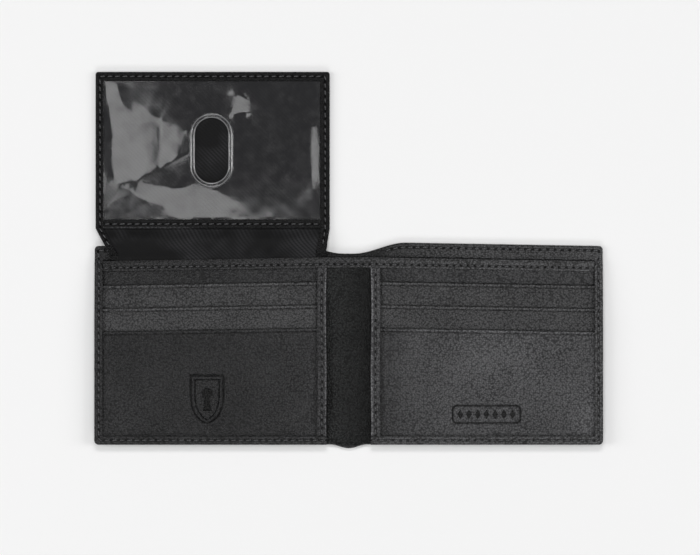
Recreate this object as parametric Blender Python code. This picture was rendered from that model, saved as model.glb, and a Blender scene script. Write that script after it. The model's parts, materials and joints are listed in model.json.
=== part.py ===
"""Bifold leather wallet with a flip-up identity wing, opened flat with its back on the table.

The frame is in metres. The origin is the middle of the spine on the back of the outer shell, +X runs
along the open width, +Y towards the note opening and +Z out of the open face. The wallet is a stack of
thin sheets. Each sheet is one object: an outline in plan between an under and an over height, which may
change along Y. The two panels turn about fold lines at the sides of the spine, and the wing turns about a
line over the top edge of the left panel. Sheets that cross a fold in the real wallet are cut there.
"""

import math

import bmesh
import bpy
from mathutils import Vector

MM = 0.001

# Open size of the wallet.
OPEN_WIDTH = 226.8 * MM
SHELL_HEIGHT = 89.5 * MM
SPINE_WIDTH = 19.7 * MM  # between the card panels' spine edges
EDGE_FALL = 1.8 * MM  # top edges are this much lower at the outer side than at the spine

# Sheet thicknesses and the clearance that keeps neighbours apart.
SHELL_LEATHER = 0.8 * MM
POCKET_LEATHER = 0.45 * MM
FRONT_LEATHER = 0.5 * MM
TURNED_LEATHER = 0.5 * MM
BAND_LEATHER = 0.5 * MM
WING_LEATHER = 0.55 * MM
LINING = 0.15 * MM
SHIELD_FOIL = 0.1 * MM
FILM = 0.25 * MM
THREAD_HEIGHT = 0.25 * MM
THREAD_WIDTH = 0.6 * MM
CLEAR = 0.15 * MM
THREAD_CLEAR = 0.1 * MM
NOTE_SPACE = 0.3 * MM  # free height of the note compartment
CARD_SPACE = 0.3 * MM  # free height between the wing's lining and its film

# Turned edges and stitch lines.
OUTER_BORDER = 3.7 * MM
SPINE_BORDER = 4.2 * MM
STITCH_INSET = 2.0 * MM
TOP_STITCH_INSET = 2.2 * MM
CORNER_RADIUS = 2.0 * MM
TOP_CORNER_RADIUS = 1.6 * MM

# Notch of the shell's top edge at the spine, and the slack of its bottom edge there.
NOTCH_DEPTH = 5.2 * MM
NOTCH_START = 2.0 * MM
NOTCH_END = 26.0 * MM
BULGE_DEPTH = 1.7 * MM
BULGE_HALF_WIDTH = 8.0 * MM

# Inner wall, its top band, and the card slots.
WALL_DROP = 6.8 * MM  # inner wall's top below the shell's top
BAND_HEIGHT = 4.6 * MM
BAND_STITCH_RISE = 1.5 * MM  # stitch line above the band's lower edge
TOP_SLOT_DROP = 11.05 * MM  # top slot's edge below the wall's top
SLOT_PITCH = 10.3 * MM
FACING_HEIGHT = 15.0 * MM
POCKET_FOOT = 10.7 * MM  # middle pocket's lower end above the stack's

# Fold lines beside the spine.
FOLD_X = 5.6 * MM
FOLD_PLAY = 0.15 * MM

# Identity wing.
WING_SIDE_SETBACK = 0.4 * MM  # the board's outer side, in from the shell's
WING_SPINE_OVERHANG = 1.35 * MM  # the board's spine side, past the panel's spine edge
WING_BOARD_HEIGHT = 69.9 * MM
WING_BOARD_GAP = 6.95 * MM  # the board's lower end above the shell's top
WING_HINGE_RISE = 1.65 * MM  # the hinge line above the wall's top
WING_FOLDED_RISE = 1.1 * MM  # the folded wing's height over the card panel
WING_OUTER_TAPER = 6.7 * MM  # the strip narrows by this much from the board to the hinge
WING_SPINE_TAPER = 1.8 * MM
WING_LEFT_BORDER = 3.4 * MM
WING_RIGHT_BORDER = 4.3 * MM
WING_TOP_BORDER = 4.1 * MM
WING_CORNER_RADIUS = 1.2 * MM
MOUTH_STRIP_HEIGHT = 4.0 * MM
THUMB_HOLE_WIDTH = 14.7 * MM
THUMB_HOLE_HEIGHT = 28.8 * MM
THUMB_RIM_WIDTH = 2.2 * MM
THUMB_RIM_HEIGHT = 0.15 * MM

BEYOND = 5.0 * MM  # how far a cutter runs past what it cuts
ON_CREASE = 0.001 * MM  # a corner this near a crease lies on it
ARC_STEPS = 6
CURVE_STEPS = 12

# Places that follow from the sizes above.
HALF_WIDTH = OPEN_WIDTH / 2
HALF_SPINE = SPINE_WIDTH / 2
BOTTOM = -SHELL_HEIGHT / 2
TOP = SHELL_HEIGHT / 2
WALL_TOP = TOP - WALL_DROP
STACK_OUTER = HALF_WIDTH - TURNED_LEATHER - CLEAR
STACK_BOTTOM = BOTTOM + TURNED_LEATHER + CLEAR
STACK_RADIUS = CORNER_RADIUS - TURNED_LEATHER - CLEAR
STACK_TOP_RADIUS = TOP_CORNER_RADIUS - TURNED_LEATHER - CLEAR
POCKET_INNER = HALF_SPINE + TURNED_LEATHER + CLEAR
TOP_SLOT_TOP = WALL_TOP - TOP_SLOT_DROP
MIDDLE_SLOT_TOP = TOP_SLOT_TOP - SLOT_PITCH
MIDDLE_POCKET_BOTTOM = STACK_BOTTOM + POCKET_FOOT
TOP_POCKET_BOTTOM = MIDDLE_POCKET_BOTTOM + SLOT_PITCH
FRONT_POCKET_TOP = MIDDLE_SLOT_TOP - SLOT_PITCH
WING_LEFT = WING_SIDE_SETBACK - HALF_WIDTH
WING_RIGHT = WING_SPINE_OVERHANG - HALF_SPINE
WING_BOARD_BOTTOM = TOP + WING_BOARD_GAP
WING_TOP = WING_BOARD_BOTTOM + WING_BOARD_HEIGHT
WING_HINGE_Y = WALL_TOP + WING_HINGE_RISE
WING_HINGE_LEFT = WING_LEFT + WING_OUTER_TAPER
WING_HINGE_RIGHT = WING_RIGHT - WING_SPINE_TAPER
FOLD_INNER = FOLD_X + FOLD_PLAY

# Heights of the stack, from the table up.
FOIL_UNDER = SHELL_LEATHER + CLEAR
BACK_LINING_UNDER = FOIL_UNDER + SHIELD_FOIL + CLEAR
TOP_HEM_UNDER = BACK_LINING_UNDER + LINING + CLEAR
TOP_HEM_OVER = TOP_HEM_UNDER + TURNED_LEATHER
FRONT_LINING_UNDER = BACK_LINING_UNDER + LINING + NOTE_SPACE
BACKING_UNDER = FRONT_LINING_UNDER + LINING + CLEAR
BACKING_OVER = BACKING_UNDER + POCKET_LEATHER
TOP_SLOT_UNDER = BACKING_OVER + CLEAR
MIDDLE_SLOT_UNDER = TOP_SLOT_UNDER + POCKET_LEATHER + CLEAR
FRONT_UNDER = MIDDLE_SLOT_UNDER + POCKET_LEATHER + CLEAR
HEM_UNDER = FRONT_UNDER + FRONT_LEATHER + CLEAR
PANEL_OVER = HEM_UNDER + TURNED_LEATHER
FOLD_Z = TOP_HEM_UNDER
ABOVE_ALL = PANEL_OVER + BEYOND

# The sheets above the fold line keep this far from it, so that they pass each other as the panels close.
SPINE_KEEP_OFF = 0.6 * MM
BAND_KEEP_OFF = TOP_SLOT_UNDER + BAND_LEATHER + THREAD_CLEAR + THREAD_HEIGHT - FOLD_Z + CLEAR
PANEL_SIDE_END = FOLD_X + BAND_KEEP_OFF
SPINE_SHEET_HALF = FOLD_X - SPINE_KEEP_OFF

# Wing heights: the board lies on the table and the hinge strip climbs over the shell's top edge.
WING_LINING_RISE = WING_LEATHER + CLEAR
WING_FILM_UNDER = WING_LINING_RISE + LINING + CARD_SPACE
WING_HEM_UNDER = WING_FILM_UNDER + FILM + CLEAR
WING_OVER = WING_HEM_UNDER + TURNED_LEATHER
HINGE_STRIP_UNDER = TOP_SLOT_UNDER
WING_HINGE_Z = (PANEL_OVER + WING_FOLDED_RISE + WING_OVER) / 2


class Profile:
    """Height along Y: straight between its points, and level before the first and after the last."""

    def __init__(self, *points):
        self.points = sorted(points)

    def __call__(self, y):
        before = self.points[0]
        for after in self.points:
            if y <= after[0]:
                run = after[0] - before[0]
                share = (y - before[0]) / run if run > 0 else 1.0
                return before[1] + share * (after[1] - before[1])
            before = after
        return before[1]

    def raised(self, by):
        """The same profile, higher by that much."""
        return Profile(*[(y, z + by) for y, z in self.points])


def level(z):
    """A profile of one height."""
    return Profile((0.0, z))


# The turned border rides over more sheets at each slot, so it climbs from the top band to the front pocket.
TOP_ZONE_STEP = 0.8 * MM
BORDER_UNDER = Profile(
    (FRONT_POCKET_TOP + EDGE_FALL, HEM_UNDER),
    (TOP_SLOT_TOP + EDGE_FALL, MIDDLE_SLOT_UNDER + THREAD_CLEAR),
    (WALL_TOP - BAND_HEIGHT, TOP_SLOT_UNDER + THREAD_CLEAR),
)
SHELL_BORDER_UNDER = Profile(
    *BORDER_UNDER.points,
    (WALL_TOP - EDGE_FALL / 2, TOP_SLOT_UNDER + THREAD_CLEAR),
    (WALL_TOP - EDGE_FALL / 2 + TOP_ZONE_STEP, TOP_HEM_UNDER),
)
STRIP_CREST_Y = TOP + EDGE_FALL / 2 + 0.4 * MM
STRIP_UNDER = Profile(
    (WING_HINGE_Y, HINGE_STRIP_UNDER),
    (STRIP_CREST_Y, TOP_HEM_OVER + 2 * CLEAR),
    (WING_BOARD_BOTTOM, 0.0),
)
STRIP_HEM_UNDER = Profile(
    (WING_HINGE_Y, HINGE_STRIP_UNDER + WING_LINING_RISE + LINING + CLEAR),
    (STRIP_CREST_Y, TOP_HEM_OVER + 2 * CLEAR + WING_LINING_RISE + LINING + CLEAR),
    (WING_BOARD_BOTTOM, WING_HEM_UNDER),
)


def fallen(x, y):
    """A top edge's height y at x, which falls evenly from the spine to the outer side."""
    share = (abs(x) - HALF_SPINE) / (HALF_WIDTH - HALF_SPINE)
    return y + EDGE_FALL * (0.5 - max(0.0, share))


def shell_top(x):
    """Top edge of the outer shell, with an S-curve down to the notch at the spine."""
    share = min(1.0, max(0.0, (abs(x) - NOTCH_START) / (NOTCH_END - NOTCH_START)))
    return fallen(x, TOP) - NOTCH_DEPTH * 0.5 * (1 + math.cos(math.pi * share))


def shell_bottom(x):
    """Bottom edge of the outer shell, which hangs a little slack at the spine."""
    share = min(1.0, abs(x) / BULGE_HALF_WIDTH)
    return BOTTOM - BULGE_DEPTH * 0.5 * (1 + math.cos(math.pi * share))


def wall_top(x):
    """Top edge of the inner wall and its band."""
    return fallen(x, WALL_TOP)


def filleted(corners):
    """The outline through corners (x, y, radius), each one rounded to its radius by an arc."""
    points = []
    for index, (x, y, radius) in enumerate(corners):
        corner = Vector((x, y))
        if radius <= 0:
            points.append((x, y))
            continue
        back = Vector(corners[index - 1][:2]) - corner
        ahead = Vector(corners[(index + 1) % len(corners)][:2]) - corner
        half = back.angle(ahead) / 2
        start = corner + back.normalized() * (radius / math.tan(half))
        end = corner + ahead.normalized() * (radius / math.tan(half))
        centre = corner + (back.normalized() + ahead.normalized()).normalized() * (radius / math.sin(half))
        turn = (start - centre).angle_signed(end - centre)
        for step in range(ARC_STEPS + 1):
            spoke = start - centre
            angle = -turn * step / ARC_STEPS
            points.append(
                (
                    centre.x + spoke.x * math.cos(angle) - spoke.y * math.sin(angle),
                    centre.y + spoke.x * math.sin(angle) + spoke.y * math.cos(angle),
                )
            )
    return points


def spaced(start, end, steps):
    """Evenly spaced numbers from start to end."""
    return [start + (end - start) * step / steps for step in range(steps + 1)]


def strip(inner, outer, lower, upper, corner_radius=0.0, top_radius=0.0):
    """Outline from x = inner to x = outer between two edges, which are functions of x or numbers."""
    low = lower if callable(lower) else lambda x: lower
    high = upper if callable(upper) else lambda x: upper
    along = [inner]
    if inner < NOTCH_END < outer and callable(upper):
        along = spaced(inner, NOTCH_END, CURVE_STEPS)
    if inner < BULGE_HALF_WIDTH < outer and callable(lower):
        along = sorted(set(along + spaced(inner, BULGE_HALF_WIDTH, CURVE_STEPS // 2)))
    corners = [(x, low(x), 0.0) for x in along] + [(outer, low(outer), corner_radius)]
    corners += [(outer, high(outer), top_radius)] + [(x, high(x), 0.0) for x in reversed(along)]
    return filleted(corners)


def sided(outline, side):
    """The outline on the right for side 1, or its mirror image on the left for side -1."""
    if side > 0:
        return outline
    return [(-x, y) for x, y in reversed(outline)]


def ribbon(path, width):
    """Outline of a band of that width along an open path, mitred at its corners."""
    points = [Vector(point) for point in path]
    left, right = [], []
    for index, point in enumerate(points):
        before = (point - points[index - 1]).normalized() if index else None
        after = (points[index + 1] - point).normalized() if index + 1 < len(points) else None
        along = ((before or after) + (after or before)).normalized()
        normal = Vector((-along.y, along.x))
        stretch = 1 / max(0.3, along.dot(before or after))
        left.append(point + normal * width / 2 * stretch)
        right.append(point - normal * width / 2 * stretch)
    return [tuple(p) for p in right + left[::-1]]


def stadium(centre_x, centre_y, width, height):
    """Upright slot with round ends."""
    radius = width / 2
    reach = height / 2 - radius
    points = []
    for end, first in ((reach, 0.0), (-reach, math.pi)):
        for angle in spaced(first, first + math.pi, 2 * ARC_STEPS):
            points.append((centre_x + radius * math.cos(angle), centre_y + end + radius * math.sin(angle)))
    return points


MATERIALS = {
    "black_leather": ((0.018, 0.018, 0.020), 0.48, 0.0),
    "pocket_leather": ((0.026, 0.026, 0.028), 0.5, 0.0),
    "twill_lining": ((0.012, 0.012, 0.013), 0.8, 0.0),
    "clear_film": ((0.55, 0.55, 0.55), 0.15, 0.0),
    "shield_foil": ((0.6, 0.6, 0.62), 0.35, 1.0),
    "black_thread": ((0.03, 0.03, 0.032), 0.6, 0.0),
}


def material(name):
    """The named Principled material, made once."""
    found = bpy.data.materials.get(name)
    if found:
        return found
    colour, roughness, metallic = MATERIALS[name]
    made = bpy.data.materials.new(name)
    made.use_nodes = True
    shader = made.node_tree.nodes["Principled BSDF"]
    shader.inputs["Base Color"].default_value = (*colour, 1.0)
    shader.inputs["Roughness"].default_value = roughness
    shader.inputs["Metallic"].default_value = metallic
    return made


def sheet(name, outline, under, over, finish):
    """An object between two height profiles over an outline, creased where a profile bends."""
    mesh = bpy.data.meshes.new(name)
    shape = bmesh.new()
    floor = shape.faces.new([shape.verts.new((x, y, 0.0)) for x, y in outline])
    raised = bmesh.ops.extrude_face_region(shape, geom=[floor])
    for vertex in raised["geom"]:
        if isinstance(vertex, bmesh.types.BMVert):
            vertex.co.z = 1.0
    for crease in sorted({y for y, _ in under.points + over.points}):
        everything = shape.verts[:] + shape.edges[:] + shape.faces[:]
        line = {"plane_co": (0, crease, 0), "plane_no": (0, 1, 0), "dist": ON_CREASE}
        bmesh.ops.bisect_plane(shape, geom=everything, **line)
    for vertex in shape.verts:
        vertex.co.z = (over if vertex.co.z > 0.5 else under)(vertex.co.y)
    bmesh.ops.recalc_face_normals(shape, faces=shape.faces)
    shape.to_mesh(mesh)
    shape.free()
    mesh.materials.append(material(finish))
    made = bpy.data.objects.new(name, mesh)
    bpy.context.scene.collection.objects.link(made)
    return made


def combined(target, operation, name, outline, under, over):
    """Cuts a sheet from the target, or joins one to it, with a hidden helper."""
    helper = sheet(name, outline, under, over, "black_leather")
    helper.hide_render = True
    helper.display_type = "WIRE"
    change = target.modifiers.new(name, "BOOLEAN")
    change.operation = operation
    change.solver = "EXACT"
    change.object = helper
    return target


def cut(target, name, outline, under, over):
    """Cuts a sheet-shaped space from the target."""
    return combined(target, "DIFFERENCE", name, outline, under, over)


def word(side):
    """The name of the panel on that side."""
    return "left" if side < 0 else "right"


def outer_shell(side):
    """One panel of the outer shell: the leather back, turned over the stack and along its own top edge."""
    end = word(side)
    outline = strip(FOLD_INNER, HALF_WIDTH, shell_bottom, shell_top, CORNER_RADIUS, TOP_CORNER_RADIUS)
    shell = sheet(
        f"outer_shell_{end}",
        sided(outline, side),
        level(0.0),
        SHELL_BORDER_UNDER.raised(TURNED_LEATHER),
        "black_leather",
    )
    turned = TURNED_LEATHER
    inside = strip(
        FOLD_INNER - BEYOND,
        HALF_WIDTH - turned,
        lambda x: BOTTOM + turned,
        lambda x: shell_top(x) - turned,
        CORNER_RADIUS - turned,
        TOP_CORNER_RADIUS - turned,
    )
    cut(shell, f"{end}_shell_hollow", sided(inside, side), level(SHELL_LEATHER), SHELL_BORDER_UNDER)
    face = strip(
        FOLD_INNER - BEYOND,
        HALF_WIDTH - OUTER_BORDER,
        BOTTOM + OUTER_BORDER,
        lambda x: wall_top(x) + 2 * CLEAR,
    )
    cut(shell, f"{end}_shell_face", sided(face, side), SHELL_BORDER_UNDER.raised(-CLEAR), level(ABOVE_ALL))
    fold_zone = strip(0.0, HALF_SPINE, BOTTOM - BEYOND, lambda x: wall_top(x) + 2 * CLEAR)
    cut(shell, f"{end}_shell_fold_zone", sided(fold_zone, side), level(SHELL_LEATHER), level(ABOVE_ALL))
    hem_end = strip(0.0, FOLD_X + SPINE_KEEP_OFF, BOTTOM - BEYOND, TOP + BEYOND)
    cut(shell, f"{end}_shell_hem_end", sided(hem_end, side), level(SHELL_LEATHER), level(ABOVE_ALL))


def note_compartment(side):
    """Shielding foil and the two twill linings of the note compartment in one panel."""
    end = word(side)
    under_hem = lambda x: shell_top(x) - TURNED_LEATHER - CLEAR
    foil = strip(HALF_SPINE, STACK_OUTER, STACK_BOTTOM, under_hem, STACK_RADIUS, STACK_TOP_RADIUS)
    foil_over = level(FOIL_UNDER + SHIELD_FOIL)
    sheet(f"shield_foil_{end}", sided(foil, side), level(FOIL_UNDER), foil_over, "shield_foil")
    back = strip(FOLD_INNER, STACK_OUTER, STACK_BOTTOM, under_hem, STACK_RADIUS, STACK_TOP_RADIUS)
    flat_lining(f"note_lining_back_{end}", sided(back, side), BACK_LINING_UNDER)
    front = strip(FOLD_INNER, STACK_OUTER, STACK_BOTTOM, wall_top, STACK_RADIUS)
    flat_lining(f"note_lining_front_{end}", sided(front, side), FRONT_LINING_UNDER)


def flat_lining(name, outline, under):
    """A level sheet of twill lining."""
    return sheet(name, outline, level(under), level(under + LINING), "twill_lining")


def card_backing(side):
    """Leather behind the card slots, whose spine edge is turned over the ends of the pockets."""
    end = word(side)
    backing = sheet(
        f"card_backing_{end}",
        sided(strip(HALF_SPINE, STACK_OUTER, STACK_BOTTOM, wall_top, STACK_RADIUS), side),
        level(BACKING_UNDER),
        BORDER_UNDER.raised(TURNED_LEATHER),
        "pocket_leather",
    )
    hollow = strip(HALF_SPINE + TURNED_LEATHER, HALF_WIDTH, BOTTOM, TOP)
    cut(backing, f"{end}_backing_hollow", sided(hollow, side), level(BACKING_OVER), BORDER_UNDER)
    face = strip(HALF_SPINE + SPINE_BORDER, HALF_WIDTH, BOTTOM, TOP)
    cut(backing, f"{end}_backing_face", sided(face, side), BORDER_UNDER.raised(-CLEAR), level(ABOVE_ALL))
    below = strip(0.0, HALF_WIDTH, BOTTOM - BEYOND, BOTTOM + OUTER_BORDER + CLEAR)
    cut(backing, f"{end}_backing_foot", sided(below, side), level(BACKING_OVER), level(ABOVE_ALL))
    above = strip(0.0, HALF_WIDTH, lambda x: wall_top(x) - BAND_HEIGHT - CLEAR, TOP + BEYOND)
    cut(backing, f"{end}_backing_head", sided(above, side), level(BACKING_OVER), level(ABOVE_ALL))


def card_slots(side):
    """Two slots made of a leather facing sewn to a twill pocket, and the leather front pocket."""
    end = word(side)
    slots = (
        ("top", TOP_SLOT_TOP, TOP_POCKET_BOTTOM, TOP_SLOT_UNDER),
        ("middle", MIDDLE_SLOT_TOP, MIDDLE_POCKET_BOTTOM, MIDDLE_SLOT_UNDER),
    )
    for slot, top, foot, under in slots:
        facing = strip(
            POCKET_INNER, STACK_OUTER, lambda x: fallen(x, top) - FACING_HEIGHT, lambda x: fallen(x, top)
        )
        sheet(
            f"{slot}_slot_facing_{end}",
            sided(facing, side),
            level(under),
            level(under + POCKET_LEATHER),
            "pocket_leather",
        )
        pocket = strip(
            POCKET_INNER,
            STACK_OUTER,
            foot,
            lambda x: fallen(x, top) - FACING_HEIGHT - CLEAR,
        )
        flat_lining(f"{slot}_slot_pocket_{end}", sided(pocket, side), under + (POCKET_LEATHER - LINING) / 2)
    front_top = lambda x: fallen(x, FRONT_POCKET_TOP)
    front = strip(POCKET_INNER, STACK_OUTER, STACK_BOTTOM, front_top, STACK_RADIUS)
    sheet(
        f"front_pocket_{end}",
        sided(front, side),
        level(FRONT_UNDER),
        level(FRONT_UNDER + FRONT_LEATHER),
        "pocket_leather",
    )


def top_band(name, inner, outer, side, under):
    """Leather band along the top edge of the inner wall, with its stitch line."""
    outline = strip(inner, outer, lambda x: wall_top(x) - BAND_HEIGHT, wall_top)
    sheet(name, sided(outline, side), level(under), level(under + BAND_LEATHER), "black_leather")
    rise = BAND_STITCH_RISE - BAND_HEIGHT
    ends = (inner + CLEAR, outer - 2 * CLEAR)
    path = [(x, wall_top(x) + rise) for x in ends]
    thread(f"{name}_thread", sided(ribbon(path, THREAD_WIDTH), side), level(under + BAND_LEATHER))


def thread(name, outline, seat):
    """A seam's thread, drawn as one strand that lies on the sheet below it."""
    under = seat.raised(THREAD_CLEAR)
    return sheet(name, outline, under, under.raised(THREAD_HEIGHT), "black_thread")


def panel_threads(side):
    """Seam threads of the turned borders and of the shell's top hem."""
    end = word(side)
    border_x = HALF_WIDTH - STITCH_INSET
    corner = [
        (border_x, fallen(border_x, TOP) - 2 * TOP_STITCH_INSET),
        (border_x, BOTTOM + STITCH_INSET),
        (HALF_SPINE + CLEAR, BOTTOM + STITCH_INSET),
    ]
    thread(
        f"border_thread_{end}",
        sided(ribbon(corner, THREAD_WIDTH), side),
        SHELL_BORDER_UNDER.raised(TURNED_LEATHER),
    )
    spine_x = HALF_SPINE + SPINE_BORDER / 2
    spine_edge = [
        (spine_x, BOTTOM + OUTER_BORDER + 2 * CLEAR),
        (spine_x, WALL_TOP - BAND_HEIGHT - CLEAR),
    ]
    thread(
        f"spine_edge_thread_{end}",
        sided(ribbon(spine_edge, THREAD_WIDTH), side),
        BORDER_UNDER.raised(TURNED_LEATHER),
    )
    hem = [(x, shell_top(x) - TOP_STITCH_INSET) for x in spaced(NOTCH_END, 17 * MM, CURVE_STEPS // 2)]
    hem.insert(0, (border_x - THREAD_WIDTH, shell_top(border_x) - TOP_STITCH_INSET))
    thread(f"top_hem_thread_{end}", sided(ribbon(hem, THREAD_WIDTH), side), level(TOP_HEM_OVER))


def gusset_edge(side):
    """The part of the spine gusset that turns with a panel."""
    edge = strip(PANEL_SIDE_END, HALF_SPINE - CLEAR, STACK_BOTTOM, wall_top)
    name = f"gusset_edge_{word(side)}"
    sheet(name, sided(edge, side), level(BACKING_UNDER), level(BACKING_OVER), "black_leather")


def panel(side, band_under):
    """Everything that turns with one panel, apart from the wing and its hinge."""
    outer_shell(side)
    note_compartment(side)
    card_backing(side)
    card_slots(side)
    top_band(f"top_band_{word(side)}", PANEL_SIDE_END, HALF_WIDTH - OUTER_BORDER - CLEAR, side, band_under)
    panel_threads(side)
    gusset_edge(side)


def across(half, lower, upper):
    """Outline across the spine, between two edges that are functions of x."""
    along = spaced(-half, half, CURVE_STEPS)
    return [(x, lower(x)) for x in along] + [(x, upper(x)) for x in reversed(along)]


def spine():
    """The spine's share of the shell and linings, its gusset, and the middle of the top band."""
    half = FOLD_X - FOLD_PLAY
    lip = level(TOP_HEM_OVER)
    shell = sheet("outer_shell_spine", across(half, shell_bottom, shell_top), level(0.0), lip, "black_leather")
    inside = across(
        FOLD_X + BEYOND, lambda x: shell_bottom(x) + TURNED_LEATHER, lambda x: shell_top(x) - TURNED_LEATHER
    )
    cut(shell, "spine_shell_hollow", inside, level(SHELL_LEATHER), level(ABOVE_ALL))
    for side in (-1, 1):
        end = strip(SPINE_SHEET_HALF, FOLD_X + BEYOND, BOTTOM - BEYOND, TOP + BEYOND)
        cut(shell, f"spine_shell_end_{word(side)}", sided(end, side), level(SHELL_LEATHER), level(ABOVE_ALL))
    lining_bottom = lambda x: STACK_BOTTOM
    lining_top = lambda x: shell_top(x) - TURNED_LEATHER - CLEAR
    flat_lining("note_lining_back_spine", across(half, lining_bottom, lining_top), BACK_LINING_UNDER)
    front_top = lambda x: wall_top(0.0) - CLEAR
    flat_lining(
        "note_lining_front_spine", across(SPINE_SHEET_HALF, lining_bottom, front_top), FRONT_LINING_UNDER
    )
    gusset = across(SPINE_SHEET_HALF, lining_bottom, front_top)
    sheet("spine_gusset", gusset, level(BACKING_UNDER), level(BACKING_OVER), "black_leather")
    low = lambda x: wall_top(0.0) - BAND_HEIGHT
    band = across(SPINE_SHEET_HALF, low, front_top)
    over = TOP_SLOT_UNDER + BAND_LEATHER
    sheet("top_band_spine", band, level(TOP_SLOT_UNDER), level(over), "black_leather")
    seam_y = low(0.0) + BAND_STITCH_RISE
    seam = [(-SPINE_SHEET_HALF + CLEAR, seam_y), (SPINE_SHEET_HALF - CLEAR, seam_y)]
    thread("top_band_spine_thread", ribbon(seam, THREAD_WIDTH), level(over))


def wing_outline(left, right, top, hinge_y, radius):
    """Outline of the wing, inset from its sides and top: a board that narrows to its hinge strip."""
    return filleted(
        [
            (WING_HINGE_LEFT + left, hinge_y, 0.0),
            (WING_HINGE_RIGHT - right, hinge_y, 0.0),
            (WING_RIGHT - right, WING_BOARD_BOTTOM, 0.0),
            (WING_RIGHT - right, WING_TOP - top, radius),
            (WING_LEFT + left, WING_TOP - top, radius),
            (WING_LEFT + left, WING_BOARD_BOTTOM, 0.0),
        ]
    )


def wing():
    """The identity wing: leather back with turned edges, twill lining, clear film window and its strip."""
    start = WING_HINGE_Y + FOLD_PLAY
    back = sheet(
        "wing_back",
        wing_outline(0.0, 0.0, 0.0, start, WING_CORNER_RADIUS),
        STRIP_UNDER,
        STRIP_HEM_UNDER.raised(TURNED_LEATHER),
        "black_leather",
    )
    turned = TURNED_LEATHER
    inside = wing_outline(turned, turned, turned, start - BEYOND, WING_CORNER_RADIUS - turned)
    cut(back, "wing_hollow", inside, STRIP_UNDER.raised(WING_LEATHER), STRIP_HEM_UNDER)
    face = wing_outline(WING_LEFT_BORDER, WING_RIGHT_BORDER, WING_TOP_BORDER, start - BEYOND, 0.0)
    cut(back, "wing_face", face, STRIP_HEM_UNDER.raised(-THREAD_CLEAR), level(ABOVE_ALL))

    held = turned + CLEAR
    lining_under = STRIP_UNDER.raised(WING_LINING_RISE)
    lining_outline = wing_outline(held, held, held, start, WING_CORNER_RADIUS - held)
    sheet("wing_lining", lining_outline, lining_under, lining_under.raised(LINING), "twill_lining")
    identity_window(held)

    strip_ends = (WING_LEFT + WING_LEFT_BORDER + CLEAR, WING_RIGHT - WING_RIGHT_BORDER - CLEAR)
    mouth_top = WING_BOARD_BOTTOM + MOUTH_STRIP_HEIGHT
    mouth = [(strip_ends[0], WING_BOARD_BOTTOM + CLEAR), (strip_ends[1], WING_BOARD_BOTTOM + CLEAR)]
    mouth += [(strip_ends[1], mouth_top), (strip_ends[0], mouth_top)]
    sheet("window_mouth_strip", mouth, level(WING_HEM_UNDER), level(WING_OVER), "black_leather")
    seam_y = WING_BOARD_BOTTOM + MOUTH_STRIP_HEIGHT / 2
    seam = [(strip_ends[0] + CLEAR, seam_y), (strip_ends[1] - CLEAR, seam_y)]
    thread("window_mouth_thread", ribbon(seam, THREAD_WIDTH), level(WING_OVER))

    inset = STITCH_INSET
    thread_end = STRIP_CREST_Y + THREAD_WIDTH
    share = (thread_end - WING_HINGE_Y) / (WING_BOARD_BOTTOM - WING_HINGE_Y)
    seam = [
        (WING_HINGE_LEFT + share * (WING_LEFT - WING_HINGE_LEFT) + inset, thread_end),
        (WING_LEFT + inset, WING_BOARD_BOTTOM),
        (WING_LEFT + inset, WING_TOP - inset),
        (WING_RIGHT - inset, WING_TOP - inset),
        (WING_RIGHT - inset, WING_BOARD_BOTTOM),
        (WING_HINGE_RIGHT + share * (WING_RIGHT - WING_HINGE_RIGHT) - inset, thread_end),
    ]
    thread("wing_border_thread", ribbon(seam, THREAD_WIDTH), STRIP_HEM_UNDER.raised(TURNED_LEATHER))


def identity_window(held):
    """Clear film over the wing's lining, with a thumb hole inside a raised welded rim."""
    left, right, top = WING_LEFT + held, WING_RIGHT - held, WING_TOP - held
    bottom = WING_BOARD_BOTTOM + 2 * CLEAR
    outline = [(left, bottom), (right, bottom), (right, top), (left, top)]
    window = sheet(
        "identity_window", outline, level(WING_FILM_UNDER), level(WING_FILM_UNDER + FILM), "clear_film"
    )
    centre = (
        (WING_LEFT + WING_LEFT_BORDER + WING_RIGHT - WING_RIGHT_BORDER) / 2,
        (WING_BOARD_BOTTOM + MOUTH_STRIP_HEIGHT + WING_TOP - WING_TOP_BORDER) / 2,
    )
    rim = stadium(*centre, THUMB_HOLE_WIDTH + 2 * THUMB_RIM_WIDTH, THUMB_HOLE_HEIGHT + 2 * THUMB_RIM_WIDTH)
    rim_over = level(WING_FILM_UNDER + FILM + THUMB_RIM_HEIGHT)
    combined(window, "UNION", "thumb_rim", rim, level(WING_FILM_UNDER + FILM / 2), rim_over)
    hole = stadium(*centre, THUMB_HOLE_WIDTH, THUMB_HOLE_HEIGHT)
    cut(window, "thumb_hole", hole, level(0.0), level(ABOVE_ALL))


def wing_hinge_tab():
    """The wing's end that is sewn under the left top band, and stays with the panel."""
    tab = strip(
        -WING_HINGE_RIGHT + CLEAR,
        -WING_HINGE_LEFT - CLEAR,
        lambda x: wall_top(x) - BAND_HEIGHT + CLEAR,
        WING_HINGE_Y - FOLD_PLAY,
    )
    over = HINGE_STRIP_UNDER + POCKET_LEATHER
    sheet("wing_hinge_tab", sided(tab, -1), level(HINGE_STRIP_UNDER), level(over), "black_leather")


def main():
    """Clears the scene and builds the wallet."""
    for old in list(bpy.data.objects):
        bpy.data.objects.remove(old)
    panel(-1, MIDDLE_SLOT_UNDER)
    wing_hinge_tab()
    panel(1, TOP_SLOT_UNDER)
    spine()
    wing()


main()
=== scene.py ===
"""The looks of a folding leather wallet with a flip-up identity wing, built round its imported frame.

Sizes are in millimetres until a mesh is made. +X runs along the open width, +Y towards the note opening
and +Z out of the open face. Every leather piece is a surface worked out over a grid, or a closed profile
carried along the wallet's outline, and each row of stitches is made of single stitches.
"""

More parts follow.
